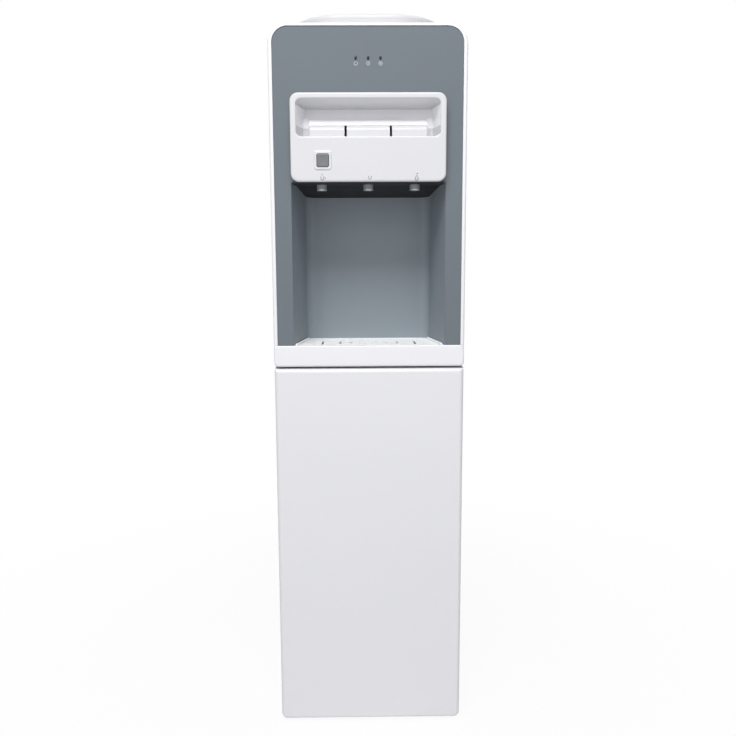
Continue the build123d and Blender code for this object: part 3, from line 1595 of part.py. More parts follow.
# Rockers, drawn in a plane that is tilted to their off position
for name, (x, z) in zip(("heating", "cooling"), switch_places):
    tilt = math.radians(rocker_tilt)
    rocker_plane = Plane(
        origin=(x, rocker_y, z), x_dir=(0, math.cos(tilt), math.sin(tilt)), z_dir=(1, 0, 0)
    )
    with BuildPart() as rocker:
        with BuildSketch(rocker_plane):
            polygon(
                (rocker_reach, rocker_half),
                (rocker_reach - rocker_dip, 0),
                (rocker_reach, -rocker_half),
                (-shell, rocker_back - rocker_half),
                (-shell, rocker_half - rocker_back),
            )
        extrude(amount=rocker_width / 2, both=True)
        with BuildSketch(rocker_plane):
            Circle(pivot_radius)
        extrude(amount=rocker_width / 2 + pivot_length, both=True)
    rocker.part.label = f"rocker_{name}"
    export_step(rocker.part, f"parts/rocker_{name}.step")

# Cord gland in the back panel; the photograph shows no cord
gland_proud = 12.0
gland_taper = 8.0
with BuildPart() as cord_gland:
    with BuildSketch(front_plane(back_y)):
        with Locations((gland_x, drain_z)):
            Circle(gland_radius)
    extrude(amount=-shell)
    with BuildSketch(front_plane(back_y + shell)):
        with Locations((gland_x, drain_z)):
            Circle(gland_radius - shell)
    extrude(amount=-(gland_proud - shell), taper=gland_taper)
    with BuildSketch(front_plane(back_y)):
        with Locations((gland_x, drain_z)):
            Circle(gland_radius - shell)
    extrude(amount=steel + 2 * shell)
    with BuildSketch(front_plane(panel_back)):
        with Locations((gland_x, drain_z)):
            Circle(gland_radius)
            Circle(gland_radius - shell, mode=Mode.SUBTRACT)
    extrude(amount=shell)
    with BuildSketch(front_plane(back_y + gland_proud)):
        with Locations((gland_x, drain_z)):
            Circle(gland_bore)
    extrude(amount=gland_proud + steel + 2 * shell, mode=Mode.SUBTRACT)
cord_gland.part.label = "cord_gland"
export_step(cord_gland.part, "parts/cord_gland.step")

# Panel screws
screw_head_height = 2.0
screw_length = 8.0
cross_width = 1.0
with BuildPart() as panel_screws:
    with BuildSketch(front_plane(back_y)):
        with Locations(*screw_places):
            Circle(screw_head)
    extrude(amount=-screw_head_height)
    with BuildSketch(front_plane(back_y)):
        with Locations(*screw_places):
            Circle(screw_shank)
    extrude(amount=screw_length)
    with BuildSketch(front_plane(back_y + screw_head_height)):
        with Locations(*screw_places):
            Rectangle(screw_head, cross_width)
            Rectangle(cross_width, screw_head)
    extrude(amount=screw_head_height / 2, mode=Mode.SUBTRACT)
panel_screws.part.label = "panel_screws"
export_step(panel_screws.part, "parts/panel_screws.step")
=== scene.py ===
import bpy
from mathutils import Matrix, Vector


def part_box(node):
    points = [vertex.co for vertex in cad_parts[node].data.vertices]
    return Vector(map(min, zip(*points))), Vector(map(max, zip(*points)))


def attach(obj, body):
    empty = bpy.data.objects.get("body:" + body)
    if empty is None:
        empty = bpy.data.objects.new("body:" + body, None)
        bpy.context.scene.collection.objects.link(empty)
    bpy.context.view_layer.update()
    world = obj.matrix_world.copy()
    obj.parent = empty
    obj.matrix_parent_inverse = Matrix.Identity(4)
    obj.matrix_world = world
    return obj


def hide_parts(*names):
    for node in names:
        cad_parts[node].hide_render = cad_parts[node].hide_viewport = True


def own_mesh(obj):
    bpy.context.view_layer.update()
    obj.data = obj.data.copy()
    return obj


bl_info = {
    "name": "Water dispenser finishes",
    "version": (1, 0, 0),
    "blender": (4, 5, 0),
    "location": "3D View > Sidebar > Dispenser",
    "description": "Finishes, trim and studio for the top-loading water dispenser",
    "category": "Object",
}

import math
from collections import Counter

import bmesh
import bpy
import numpy as np
from bpy.props import FloatProperty, FloatVectorProperty, PointerProperty
from bpy.types import Operator, Panel, PropertyGroup
from mathutils import Matrix, Vector
from mathutils.geometry import delaunay_2d_cdt

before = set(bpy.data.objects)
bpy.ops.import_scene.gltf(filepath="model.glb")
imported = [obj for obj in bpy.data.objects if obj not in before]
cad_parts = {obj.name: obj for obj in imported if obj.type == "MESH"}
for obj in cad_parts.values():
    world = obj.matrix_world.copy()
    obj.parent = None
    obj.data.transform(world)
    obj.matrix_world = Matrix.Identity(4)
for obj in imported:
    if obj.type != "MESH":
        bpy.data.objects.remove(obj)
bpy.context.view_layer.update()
MM = 0.001

# Faces that the trim sits on; places are in millimetres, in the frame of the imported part
TAP_FACE = -160.25
FASCIA_FACE = -147.25
BACK_FACE = 141.75

# Tap housing: its outline, and the inset and depth of each ring round its soft edge
HOUSING_HALF_X = 105.6
HOUSING_BOTTOM = 802.0
HOUSING_TOP = 919.0
HOUSING_MIDDLE = (HOUSING_TOP + HOUSING_BOTTOM) / 2
HOUSING_HALF_Z = (HOUSING_TOP - HOUSING_BOTTOM) / 2
HOUSING_CORNER = 11.3
FACE_INSET = 2.5
HOUSING_EDGE = (
    (FACE_INSET, 0.0), (1.68, 0.13), (0.95, 0.5), (0.4, 1.1),
    (0.1, 1.8), (0.0, 2.5), (0.0, 8.0), (0.0, 13.0),
)

# Finger recess: its opening, the slopes of its walls and its slanted back
RECESS_HALF_X = 97.8
RECESS_LIP = 861.8
RECESS_TOP = 911.2
RECESS_MIDDLE = (RECESS_TOP + RECESS_LIP) / 2
RECESS_HALF_Z = (RECESS_TOP - RECESS_LIP) / 2
RECESS_CORNER = 7.5
RECESS_DEPTH = 40.0
SIDE_SLOPE = 4.0
CEILING_SLOPE = 6.15
FLOOR_SLOPE = 12.0
SCOOP_DEPTH = 14.5
SCOOP_FOOT = 878.2
SCOOP_HEAD = 904.7
SCOOP_SAG = 3.0
SCOOP_BLEND = 6.0
POCKET_SIDE = 80.8
POCKET_BLEND = 1.6
POCKET_TOP = 890.0

# Openings of the housing: the slot of the keys, which ends at the scoop's foot, and the hole of
# the lock button. The last limits hold both openings and leave the outer edge out.
SLOT_HALF = 80.2
SLOT_BOTTOM = 862.6
LOCK_X = -61.85
LOCK_Z = 830.3
HOLE_HALF_X = 8.6
HOLE_HALF_Z = 9.15
HOLE_CORNER = 3.0
RETURN_DEPTH = 3.0
OPENINGS_HALF = 90.0
OPENINGS_BOTTOM = 815.0
OPENINGS_TOP = 900.0

# Raised ring round the lock button, and the button itself
BEZEL_HALF_X = 8.3
BEZEL_HALF_Z = 8.8
BEZEL_REACH = 4.2
BEZEL_FALL = 1.5
BEZEL_HEIGHT = 1.05
BUTTON_HALF_X = 8.3
BUTTON_HALF_Z = 8.85
BUTTON_CORNER = 2.8

# Mesh of the face: how far its lines are set in from the recess's edge and out from the lock's
# hole, where they run beside the keys, and the grid that fills the recess
RECESS_INSETS = (-2.4, -1.9, -1.5, -1.1, -0.7, -0.3, 0.0, 0.1, 0.25, 0.45, 0.7, 1.0, 1.4, 2.0)
BEZEL_OFFSETS = (0.8, 1.6, 2.3, 2.7, 3.1, 3.5, 3.9, 4.4, 5.4)
POCKET_LINES = (POCKET_SIDE, 81.3, 81.9, 82.5)
GRID_X = np.arange(-94.5, 94.6, 1.5)
GRID_Z = np.arange(865.0, 909.8, 1.25)
CLEAR_OF_RIM = 2.6
CLEAR_OF_SLOT = 0.8

# Spouts: closed profiles of radius and height
TAP_AXIS = -129.25
TAPS = (("hot", -65.0), ("warm", 0.0), ("cold", 65.0))
SLEEVE_PROFILE = ((6.82, 800.7), (7.0, 800.7), (7.0, 794.4), (6.82, 794.4))
RIM_PROFILE = (
    (6.9, 794.5), (7.2, 794.3), (7.3, 793.9), (7.3, 793.3), (7.15, 792.95), (6.8, 792.8),
    (6.0, 792.75), (5.2, 792.9), (4.7, 793.4), (4.52, 795.0), (4.9, 795.4),
)

# Valve springs
SPRING_WIRE = 0.4
SPRING_TURNS = 5
TURN_STEPS = 24
WIRE_SIDES = 8

# Indicator lights: a lens is drawn by the share of its outline and its depth, ring by ring
LIGHTS = (-16.5, 0.2, 16.9)
LIGHT_Z = 965.7
LENS_HALF_X = 1.65
LENS_HALF_Z = 2.45
LENS_CORNER = 1.6
LENS_PROFILE = ((1.0, 0.1), (1.0, -0.25), (0.9, -0.5), (0.7, -0.72), (0.4, -0.86), (0.08, -0.9))

# Symbols under the lights and beside the rear switches
POWER_X, HEAT_X, CHILL_X = -16.4, 0.2, 17.0
LIGHT_MARK_Z = 958.7
LIGHT_MARK_RING = 2.35
REAR_HEAT_X = 54.0
REAR_CHILL_X = 86.0
REAR_MARK_Z = 812.0
INK_SINK = 0.02
OPEN, CLOSED = False, True

# Rear vents and the section of a louvre, as distance from the back panel and rise
VENT_TOP = 954.0
VENT_PITCH = 12.0
VENT_ROWS = 8
VENT_X = 50.0
LOUVRE_HALF = 37.0
LOUVRE_END = 6.0
LOUVRE_SECTION = (
    (0.0, 4.7), (1.3, 4.4), (2.2, 3.3), (2.5, 1.6), (2.5, -0.4),
    (1.9, -0.4), (1.9, 1.4), (1.6, 2.6), (0.9, 3.5), (-0.1, 3.8),
)

# Slot of every imported node
SLOT_NODES = {
    "white_moulding": (
        "lower_front_panel", "front_frame", "tray_housing", "top_cover", "tank_lid",
        "tank_baffle", "drain_fitting", "drain_cap", "drip_tray", "drip_grille",
        "bottle_collar", "feed_spike", "tap_housing", "key_hot", "key_warm", "key_cold",
    ),
    "grey_moulding": ("fascia",),
    # Painted shade: the ceiling plate's near-black stands in for the shade under the tap housing
    "dark_moulding": ("ceiling_plate", "thermostats", "cord_gland"),
    "button_grey": ("lock_button",),
    "white_steel": ("side_panel_left", "side_panel_right"),
    "zinc_steel": ("base_plate", "back_panel", "mid_shelf", "upper_shelf", "hot_tank_bracket"),
    "stainless": ("key_pin", "cold_tank", "hot_tank", "heater_band"),
    "spring_steel": (
        "panel_screws", "valve_spring_hot", "valve_spring_warm", "valve_spring_cold",
    ),
    "black_enamel": ("compressor", "condenser", "condenser_brackets"),
    "copper": ("evaporator_coil", "filter_dryer", "refrigerant_lines"),
    "black_rubber": ("rubber_feet", "compressor_mounts"),
    "silicone": ("water_hoses", "neck_seal"),
    "foam": ("insulation_left", "insulation_right", "hot_tank_jacket"),
    "board": ("control_board",),
    "lens": ("light_pipes",),
    "valve_moulding": (
        "valve_body_hot", "valve_body_warm", "valve_body_cold",
        "valve_stem_hot", "valve_stem_warm", "valve_stem_cold",
    ),
    "switch_black": ("switch_housings",),
    "switch_red": ("rocker_heating",),
    "switch_green": ("rocker_cooling",),
}

# Nodes whose finish differs in shade or gloss from the rest of their slot
SPECIAL_FINISH = {
    "drip_tray": "tray_white", "drip_grille": "tray_white", "bottle_collar": "collar_white",
    "tap_housing": "housing_white", "lower_front_panel": "panel_white",
    "top_cover": "cover_white",
    "key_hot": "key_white", "key_warm": "key_white", "key_cold": "key_white",
}

# Nodes whose edges are rounded as thin sheet or small hardware
FINE_EDGED = (
    "drain_cap", "drain_fitting", "cord_gland", "thermostats", "switch_housings",
    "rocker_heating", "rocker_cooling", "control_board",
    "base_plate", "hot_tank_bracket", "condenser_brackets",
)

# Waves a metre and height of the fine grain that most mouldings share
FINE_GRAIN = (1100.0, 0.012 * MM)

# Finishes by name, filled by make_finishes
FINISHES = {}

# Settings that every colour shares
COLOUR = {"subtype": "COLOR", "min": 0.0, "max": 1.0}


class DispenserColours(PropertyGroup):
    """Colours of the mouldings, sheet metal and prints."""

    white: FloatVectorProperty(
        name="White moulding", description="Front frame, band and most white mouldings",
        default=(0.80, 0.80, 0.83), **COLOUR,
    )
    panel: FloatVectorProperty(
        name="Lower panel", description="Lower front panel",
        default=(0.745, 0.745, 0.77), **COLOUR,
    )
    cover: FloatVectorProperty(
        name="Top cover", description="Cover round the bottle collar",
        default=(0.69, 0.69, 0.715), **COLOUR,
    )
    collar: FloatVectorProperty(
        name="Bottle collar", description="Collar that the bottle stands in",
        default=(0.58, 0.58, 0.60), **COLOUR,
    )
    # Partly painted light: the tray is white moulding, coloured lighter than the other white
    # mouldings so that it looks bright in the shade under the tap housing
    tray: FloatVectorProperty(
        name="Drip tray", description="Drip tray and its grille",
        default=(0.93, 0.93, 0.925), **COLOUR,
    )
    keys: FloatVectorProperty(
        name="Keys", description="Push keys in the finger recess",
        default=(0.66, 0.66, 0.68), **COLOUR,
    )
    housing: FloatVectorProperty(
        name="Tap housing", description="Face of the tap housing",
        default=(0.655, 0.655, 0.678), **COLOUR,
    )
    # Painted light: the finger recess is coloured much lighter than the housing's face, standing in
    # for light bounced into it
    recess: FloatVectorProperty(
        name="Finger recess", description="Hollow over the keys",
        default=(0.93, 0.93, 0.955), **COLOUR,
    )
    grey: FloatVectorProperty(
        name="Grey moulding", description="Upper front panel",
        default=(0.143, 0.168, 0.188), **COLOUR,
    )
    # Painted light: the cup bay's walls are coloured lighter than the grey panel, standing in for
    # light that the bay's walls and ceiling keep out
    bay: FloatVectorProperty(
        name="Cup bay", description="Walls of the cup bay",
        default=(0.258, 0.296, 0.328), **COLOUR,
    )
    # Painted shade: the plate over the cup bay is near-black, standing in for the deep shade under
    # the tap housing; the thermostats and the cord gland are black parts
    dark: FloatVectorProperty(
        name="Dark moulding", description="Plate over the cup bay and small black parts",
        default=(0.020, 0.020, 0.022), **COLOUR,
    )
    button: FloatVectorProperty(
        name="Lock button", description="Square button beside the hot tap",
        default=(0.150, 0.160, 0.172), **COLOUR,
    )
    spout: FloatVectorProperty(
        name="Spouts", description="Grey food-grade moulding of the taps",
        default=(0.33, 0.34, 0.355), **COLOUR,
    )
    sheet: FloatVectorProperty(
        name="White sheet", description="Painted side panels",
        default=(0.80, 0.80, 0.82), **COLOUR,
    )
    ink: FloatVectorProperty(
        name="Grey print", description="Symbols over the taps and beside the rear switches",
        default=(0.10, 0.10, 0.12), **COLOUR,
    )
    pale_ink: FloatVectorProperty(
        name="Pale print", description="Symbols under the lights",
        default=(0.55, 0.60, 0.62), **COLOUR,
    )


class DispenserSizes(PropertyGroup):
    """Sizes of the softened edges, prints and trim."""

    edge: FloatProperty(
        name="Moulded edge", description="Rounding of the edges of mouldings",
        default=0.8 * MM, min=0.1 * MM, max=3.0 * MM, unit="LENGTH",
    )
    sheet_edge: FloatProperty(
        name="Folded edge", description="Rounding of the edges of sheet metal",
        default=0.35 * MM, min=0.1 * MM, max=1.0 * MM, unit="LENGTH",
    )
    print_height: FloatProperty(
        name="Print height", description="Thickness of the printed symbols",
        default=0.12 * MM, min=0.05 * MM, max=0.5 * MM, unit="LENGTH",
    )
    stroke: FloatProperty(
        name="Print stroke", description="Line width of the printed symbols",
        default=0.75 * MM, min=0.3 * MM, max=2.0 * MM, unit="LENGTH",
    )
    skin: FloatProperty(
        name="Housing wall", description="Wall thickness of the tap housing",
        default=1.8 * MM, min=0.5 * MM, max=3.0 * MM, unit="LENGTH",
    )


class DispenserStudio(PropertyGroup):
    """Camera, lamps and room light."""

    lens: FloatProperty(
        name="Focal length", description="Lens on a 36 mm wide sensor",
        default=36.685, min=10.0, max=200.0, unit="CAMERA",
    )
    eye: FloatVectorProperty(
        name="Camera place", description="Where the camera stands",
        subtype="TRANSLATION", unit="LENGTH", default=(-0.0146, -1.2041, 0.6956),
    )
    yaw: FloatProperty(
        name="Camera yaw", description="Turn of the camera to the right",
        default=math.radians(0.694), subtype="ANGLE",
    )
    pitch: FloatProperty(
        name="Camera pitch", description="Tilt of the camera down",
        default=math.radians(8.131), subtype="ANGLE",
    )
    roll: FloatProperty(
        name="Camera roll", description="Turn of the camera about its own axis",
        default=math.radians(-0.259), subtype="ANGLE",
    )
    front_power: FloatProperty(
        name="Front lamp", description="Power of the large lamp in front",
        default=21.0, min=0.0, unit="POWER",
    )
    high_power: FloatProperty(
        name="High lamp", description="Power of the lamp in front and above",
        default=54.0, min=0.0, unit="POWER",
    )
    top_power: FloatProperty(
        name="Top lamp", description="Power of the softbox straight above",
        default=3.0, min=0.0, unit="POWER",
    )
    room: FloatProperty(
        name="Room light", description="Brightness of the room round the object",
        default=0.19, min=0.0, max=2.0,
    )


def tone(name):
    """One of the colours set in the sidebar."""
    return tuple(getattr(bpy.context.scene.dispenser_colours, name))


def sizes():
    """Sizes set in the sidebar."""
    return bpy.context.scene.dispenser_sizes


# Finishes


class Finish:
    """One node material, built from the surface's own coordinates."""

    def __init__(self, name, **sockets):
        self.material = bpy.data.materials.new(f"{name}_finish")
        self.material.use_nodes = True
        self.tree = self.material.node_tree
        self.tree.nodes.clear()
        self.output = self.add("ShaderNodeOutputMaterial")
        self.shader = self.add("ShaderNodeBsdfPrincipled")
        self.link(self.shader.outputs["BSDF"], self.output.inputs["Surface"])
        self.place = self.add("ShaderNodeTexCoord").outputs["Object"]
        for socket, value in sockets.items():
            self.shader.inputs[socket.replace("_", " ")].default_value = value

    def add(self, kind, **settings):
        """New node with its settings."""
        node = self.tree.nodes.new(kind)
        for key, value in settings.items():
            setattr(node, key, value)
        return node

    def link(self, source, target):
        """Join two sockets."""
        self.tree.links.new(source, target)

    def stretched(self, scale):
        """Object coordinates, scaled by a triple."""
        mapping = self.add("ShaderNodeMapping")
        mapping.inputs["Scale"].default_value = scale
        self.link(self.place, mapping.inputs["Vector"])
        return mapping.outputs["Vector"]

    def noise(self, scale, detail=2.0, roughness=0.5, stretch=None):
        """Noise signal; scale is in waves a metre."""
        node = self.add("ShaderNodeTexNoise")
        node.inputs["Scale"].default_value = scale
        node.inputs["Detail"].default_value = detail
        node.inputs["Roughness"].default_value = roughness
        self.link(self.stretched(stretch) if stretch else self.place, node.inputs["Vector"])
        return node.outputs["Fac"]

    def cells(self, scale, output="Distance", feature="F1", stretch=None):
        """Cell signal; scale is in cells a metre."""
        node = self.add("ShaderNodeTexVoronoi", feature=feature)
        node.inputs["Scale"].default_value = scale
        self.link(self.stretched(stretch) if stretch else self.place, node.inputs["Vector"])
        return node.outputs[output]

    def spread(self, signal, low, high, bottom, top):
        """Signal between low and high spread over bottom to top."""
        node = self.add("ShaderNodeMapRange")
        node.inputs["From Min"].default_value = low
        node.inputs["From Max"].default_value = high
        node.inputs["To Min"].default_value = bottom
        node.inputs["To Max"].default_value = top
        self.link(signal, node.inputs["Value"])
        return node.outputs["Result"]

    def product(self, first, second):
        """Product of two signals."""
        node = self.add("ShaderNodeMath", operation="MULTIPLY")
        self.link(first, node.inputs[0])
        self.link(second, node.inputs[1])
        return node.outputs[0]

    def mixed(self, signal, first, second):
        """Colour between two colours; either may be a socket."""
        node = self.add("ShaderNodeMix", data_type="RGBA")
        self.link(signal, node.inputs["Factor"])
        for socket, colour in ((node.inputs[6], first), (node.inputs[7], second)):
            if isinstance(colour, bpy.types.NodeSocket):
                self.link(colour, socket)
            else:
                socket.default_value = (*colour, 1.0)
        return node.outputs[2]

    def inside(self, limits, soft=1.0 * MM):
        """Signal that is 1 between limits: each is an axis with its low and high end."""
        parts = self.add("ShaderNodeSeparateXYZ")
        self.link(self.place, parts.inputs["Vector"])
        total = None
        for axis, low, high in limits:
            for ramp in ((low - soft, low, 0.0, 1.0), (high, high + soft, 1.0, 0.0)):
                share = self.spread(parts.outputs[axis], *ramp)
                total = self.product(total, share) if total else share
        return total

    def colour(self, source):
        """Set the base colour from a socket."""
        self.link(source, self.shader.inputs["Base Color"])

    def rough(self, signal, low, high, bottom, top):
        """Set the roughness from a signal."""
        self.link(self.spread(signal, low, high, bottom, top), self.shader.inputs["Roughness"])

    def relief(self, *layers):
        """Add bumps: pairs of a signal and its height in metres."""
        last = None
        for signal, height in layers:
            bump = self.add("ShaderNodeBump")
            bump.inputs["Distance"].default_value = height
            self.link(signal, bump.inputs["Height"])
            if last:
                self.link(last, bump.inputs["Normal"])
            last = bump.outputs["Normal"]
        self.link(last, self.shader.inputs["Normal"])


def shade(colour, factor):
    """A colour made lighter or darker by a factor."""
    return tuple(min(channel * factor, 1.0) for channel in colour)


def moulded(name, colour, rough, grain, grain_height, drift=0.012, gloss=0.45, hollow=None):
    """Injection-moulded plastic: slow drift of colour and gloss over a fine grain.

    A hollow is a colour and the limits between which it is painted in place of the moulding's own
    colour: painted light that stands in for light reaching the hollow.
    """
    finish = Finish(name, Specular_IOR_Level=gloss)
    light, deep = shade(colour, 1 + drift), shade(colour, 1 - drift)
    base = finish.mixed(finish.noise(7.0, 3.0), deep, light)
    # Painted light: a lighter colour within the hollow's limits, standing in for light
    if hollow:
        base = finish.mixed(finish.inside(hollow[1]), base, hollow[0])
    speckle = finish.spread(finish.noise(900.0, 1.0), 0.3, 0.7, 0.0, 0.04)
    finish.colour(finish.mixed(speckle, base, shade(colour, 0.8)))
    finish.rough(finish.noise(45.0, 4.0, 0.6), 0.25, 0.75, rough - 0.05, rough + 0.06)
    finish.relief(
        (finish.noise(5.0, 1.0), 0.25 * MM),
        (finish.noise(grain, 2.0, 0.6), grain_height),
    )
    return finish.material


def painted_sheet(name, colour, rough):
    """Powder coat on sheet steel: orange peel and a slow drift of gloss."""
    finish = Finish(name, Coat_Weight=0.15, Coat_Roughness=0.25)
    finish.colour(finish.mixed(finish.noise(6.0, 2.0), shade(colour, 0.985), shade(colour, 1.01)))
    finish.rough(finish.noise(80.0, 3.0), 0.3, 0.7, rough - 0.05, rough + 0.08)
    finish.relief((finish.noise(420.0, 2.0, 0.4), 0.03 * MM), (finish.noise(4.0, 1.0), 0.4 * MM))
    return finish.material


def enamel(name, colour):
    """Black stoved enamel with dust in its gloss."""
    finish = Finish(name, Coat_Weight=0.4, Coat_Roughness=0.12)
    dust = finish.spread(finish.noise(60.0, 5.0, 0.7), 0.5, 0.8, 0.0, 0.25)
    finish.colour(finish.mixed(dust, colour, (0.07, 0.068, 0.064)))
    finish.rough(finish.noise(90.0, 3.0), 0.3, 0.7, 0.28, 0.45)
    finish.relief((finish.noise(350.0, 2.0), 0.04 * MM))
    return finish.material


def zinc(name):
    """Galvanised sheet with its spangle."""
    finish = Finish(name, Metallic=1.0)
    grey = finish.add("ShaderNodeRGBToBW")
    finish.link(finish.cells(130.0, "Color"), grey.inputs["Color"])
    spangle = finish.spread(grey.outputs["Val"], 0.2, 0.8, 0.0, 1.0)
    finish.colour(finish.mixed(spangle, (0.55, 0.56, 0.58), (0.64, 0.65, 0.67)))
    finish.rough(grey.outputs["Val"], 0.2, 0.8, 0.34, 0.52)
    finish.relief((finish.noise(500.0, 2.0), 0.01 * MM))
    return finish.material


def brushed(name, colour, along, rough=0.28):
    """Brushed metal; along is the direction of the brushing as a stretch."""
    finish = Finish(name, Metallic=1.0)
    lines = finish.noise(1.0, 4.0, 0.7, stretch=along)
    finish.colour(finish.mixed(lines, shade(colour, 0.9), shade(colour, 1.06)))
    finish.rough(lines, 0.3, 0.7, rough - 0.06, rough + 0.1)
    finish.relief((lines, 0.02 * MM))
    return finish.material


def drawn_copper(name):
    """Copper tube with the dull patches it takes on when handled and brazed."""
    finish = Finish(name, Metallic=1.0)
    tarnish = finish.spread(finish.noise(26.0, 5.0, 0.65), 0.42, 0.68, 0.0, 1.0)
    finish.colour(finish.mixed(tarnish, (0.78, 0.42, 0.27), (0.42, 0.20, 0.12)))
    finish.rough(finish.noise(70.0, 4.0), 0.3, 0.7, 0.24, 0.46)
    finish.relief((finish.noise(260.0, 3.0), 0.02 * MM))
    return finish.material


def rubber(name, colour, rough):
    """Moulded rubber with a bloom and a fine grain."""
    finish = Finish(name)
    bloom = finish.spread(finish.noise(30.0, 4.0), 0.45, 0.75, 0.0, 1.0)
    finish.colour(finish.mixed(bloom, colour, tuple(channel + 0.025 for channel in colour)))
    finish.rough(finish.noise(140.0, 3.0), 0.3, 0.7, rough - 0.06, rough + 0.06)
    finish.relief((finish.noise(700.0, 3.0), 0.05 * MM))
    return finish.material


def milky(name):
    """Translucent silicone hose."""
    finish = Finish(name, Subsurface_Weight=0.25, Subsurface_Scale=0.004, IOR=1.41)
    finish.colour(finish.mixed(finish.noise(35.0, 3.0), (0.72, 0.74, 0.76), (0.82, 0.83, 0.84)))
    finish.rough(finish.noise(120.0, 2.0), 0.3, 0.7, 0.30, 0.44)
    finish.relief((finish.noise(300.0, 2.0), 0.02 * MM))
    return finish.material


def beads(name):
    """Expanded foam: pressed beads with dark seams between them."""
    finish = Finish(name)
    seam = finish.spread(finish.cells(260.0, "Distance", "DISTANCE_TO_EDGE"), 0.0, 0.12, 0.0, 1.0)
    bead = finish.mixed(finish.noise(20.0, 2.0), (0.80, 0.80, 0.77), (0.88, 0.88, 0.86))
    finish.colour(finish.mixed(seam, (0.62, 0.62, 0.60), bead))
    finish.rough(finish.noise(200.0, 2.0), 0.3, 0.7, 0.75, 0.92)
    finish.relief((seam, 0.25 * MM), (finish.noise(900.0, 2.0), 0.04 * MM))
    return finish.material


def laminate(name):
    """Circuit board: tracks under a green resist."""
    finish = Finish(name, Coat_Weight=0.5, Coat_Roughness=0.15)
    track = finish.cells(330.0, "Distance", "DISTANCE_TO_EDGE", stretch=(1.0, 1.0, 0.35))
    line = finish.spread(track, 0.08, 0.14, 0.0, 1.0)
    finish.colour(finish.mixed(line, (0.03, 0.26, 0.12), (0.012, 0.13, 0.06)))
    finish.rough(finish.noise(80.0, 2.0), 0.3, 0.7, 0.30, 0.42)
    finish.relief((line, -0.03 * MM))
    return finish.material


def smoked_lens(name):
    """Dark lens of an indicator light."""
    finish = Finish(name, Coat_Weight=0.1, Coat_Roughness=0.1, Specular_IOR_Level=0.3)
    cloud = finish.noise(400.0, 2.0)
    finish.colour(finish.mixed(cloud, (0.002, 0.008, 0.022), (0.004, 0.014, 0.035)))
    finish.rough(finish.noise(300.0, 2.0), 0.3, 0.7, 0.2, 0.3)
    finish.relief((finish.noise(900.0, 1.0), 0.01 * MM))
    return finish.material


def printed(name, colour):
    """Screen-printed ink with thin patches."""
    finish = Finish(name)
    thin = finish.spread(finish.noise(1500.0, 3.0), 0.45, 0.8, 0.0, 1.0)
    finish.colour(finish.mixed(thin, colour, tuple(channel * 0.7 + 0.14 for channel in colour)))
    finish.rough(finish.noise(500.0, 2.0), 0.3, 0.7, 0.5, 0.62)
    finish.relief((finish.noise(1200.0, 2.0), 0.01 * MM))
    return finish.material


def make_finishes():
    """Make every finish once and return them by name."""
    if FINISHES:
        return FINISHES
    behind_fascia = (FASCIA_FACE + 1.2) * MM
    behind_tap_face = (TAP_FACE + 2.0) * MM
    scoop = ((SCOOP_FOOT - 1.0) * MM, (SCOOP_HEAD - 1.5) * MM)
    # Painted light: the cup bay behind the panel's face takes the lighter bay colour, so its walls
    # look as bright as the open panel
    bay = (tone("bay"), (("Y", behind_fascia, 0.2),))
    # Painted light: the recess over the keys takes the lighter recess colour in place of bounced
    # light; below the scoop's foot the housing's own tone stays, so the pockets beside the keys
    # look darker
    recess = (tone("recess"), (("Y", behind_tap_face, 0.0), ("Z", *scoop)))
    made = (
        moulded("white_moulding", tone("white"), 0.34, *FINE_GRAIN),
        moulded("panel_white", tone("panel"), 0.34, *FINE_GRAIN),
        moulded("cover_white", tone("cover"), 0.4, *FINE_GRAIN),
        moulded("collar_white", tone("collar"), 0.45, *FINE_GRAIN),
        # Painted light: the tray's lighter white stands in for the light that the tap housing keeps
        # off it; its rougher, duller gloss is its own
        moulded("tray_white", tone("tray"), 0.62, 1100.0, 0.02 * MM, gloss=0.12),
        moulded("key_white", tone("keys"), 0.4, *FINE_GRAIN),
        moulded("housing_white", tone("housing"), 0.36, *FINE_GRAIN, hollow=recess),
        moulded("grey_moulding", tone("grey"), 0.5, 1500.0, 0.035 * MM, 0.025, 0.28, bay),
        moulded("dark_moulding", tone("dark"), 0.5, 1300.0, 0.03 * MM, 0.06, 0.25),
        moulded("button_grey", tone("button"), 0.36, 1300.0, 0.02 * MM, 0.03),
        moulded("valve_moulding", tone("spout"), 0.30, 1200.0, 0.015 * MM, 0.03),
        moulded("spout_grey", tone("spout"), 0.5, 1200.0, 0.015 * MM, 0.03, 0.4),
        moulded("switch_black", (0.018, 0.018, 0.02), 0.36, 1200.0, 0.03 * MM, 0.05),
        moulded("switch_red", (0.56, 0.03, 0.022), 0.26, 1200.0, 0.012 * MM, 0.03),
        moulded("switch_green", (0.03, 0.34, 0.10), 0.26, 1200.0, 0.012 * MM, 0.03),
        painted_sheet("white_steel", tone("sheet"), 0.36),
        enamel("black_enamel", (0.014, 0.014, 0.016)),
        zinc("zinc_steel"),
        brushed("stainless", (0.66, 0.66, 0.67), (30.0, 30.0, 2600.0)),
        brushed("spring_steel", (0.60, 0.60, 0.61), (900.0, 900.0, 900.0), 0.22),
        brushed("spout_metal", (0.60, 0.61, 0.62), (2200.0, 2200.0, 60.0), 0.42),
        drawn_copper("copper"),
        rubber("black_rubber", (0.018, 0.018, 0.019), 0.72),
        milky("silicone"),
        beads("foam"),
        laminate("board"),
        smoked_lens("lens"),
        printed("grey_ink", tone("ink")),
        printed("pale_ink", tone("pale_ink")),
    )
    for material in made:
        FINISHES[material.name.removesuffix("_finish")] = material
    return FINISHES


# Lines, shapes and pieces


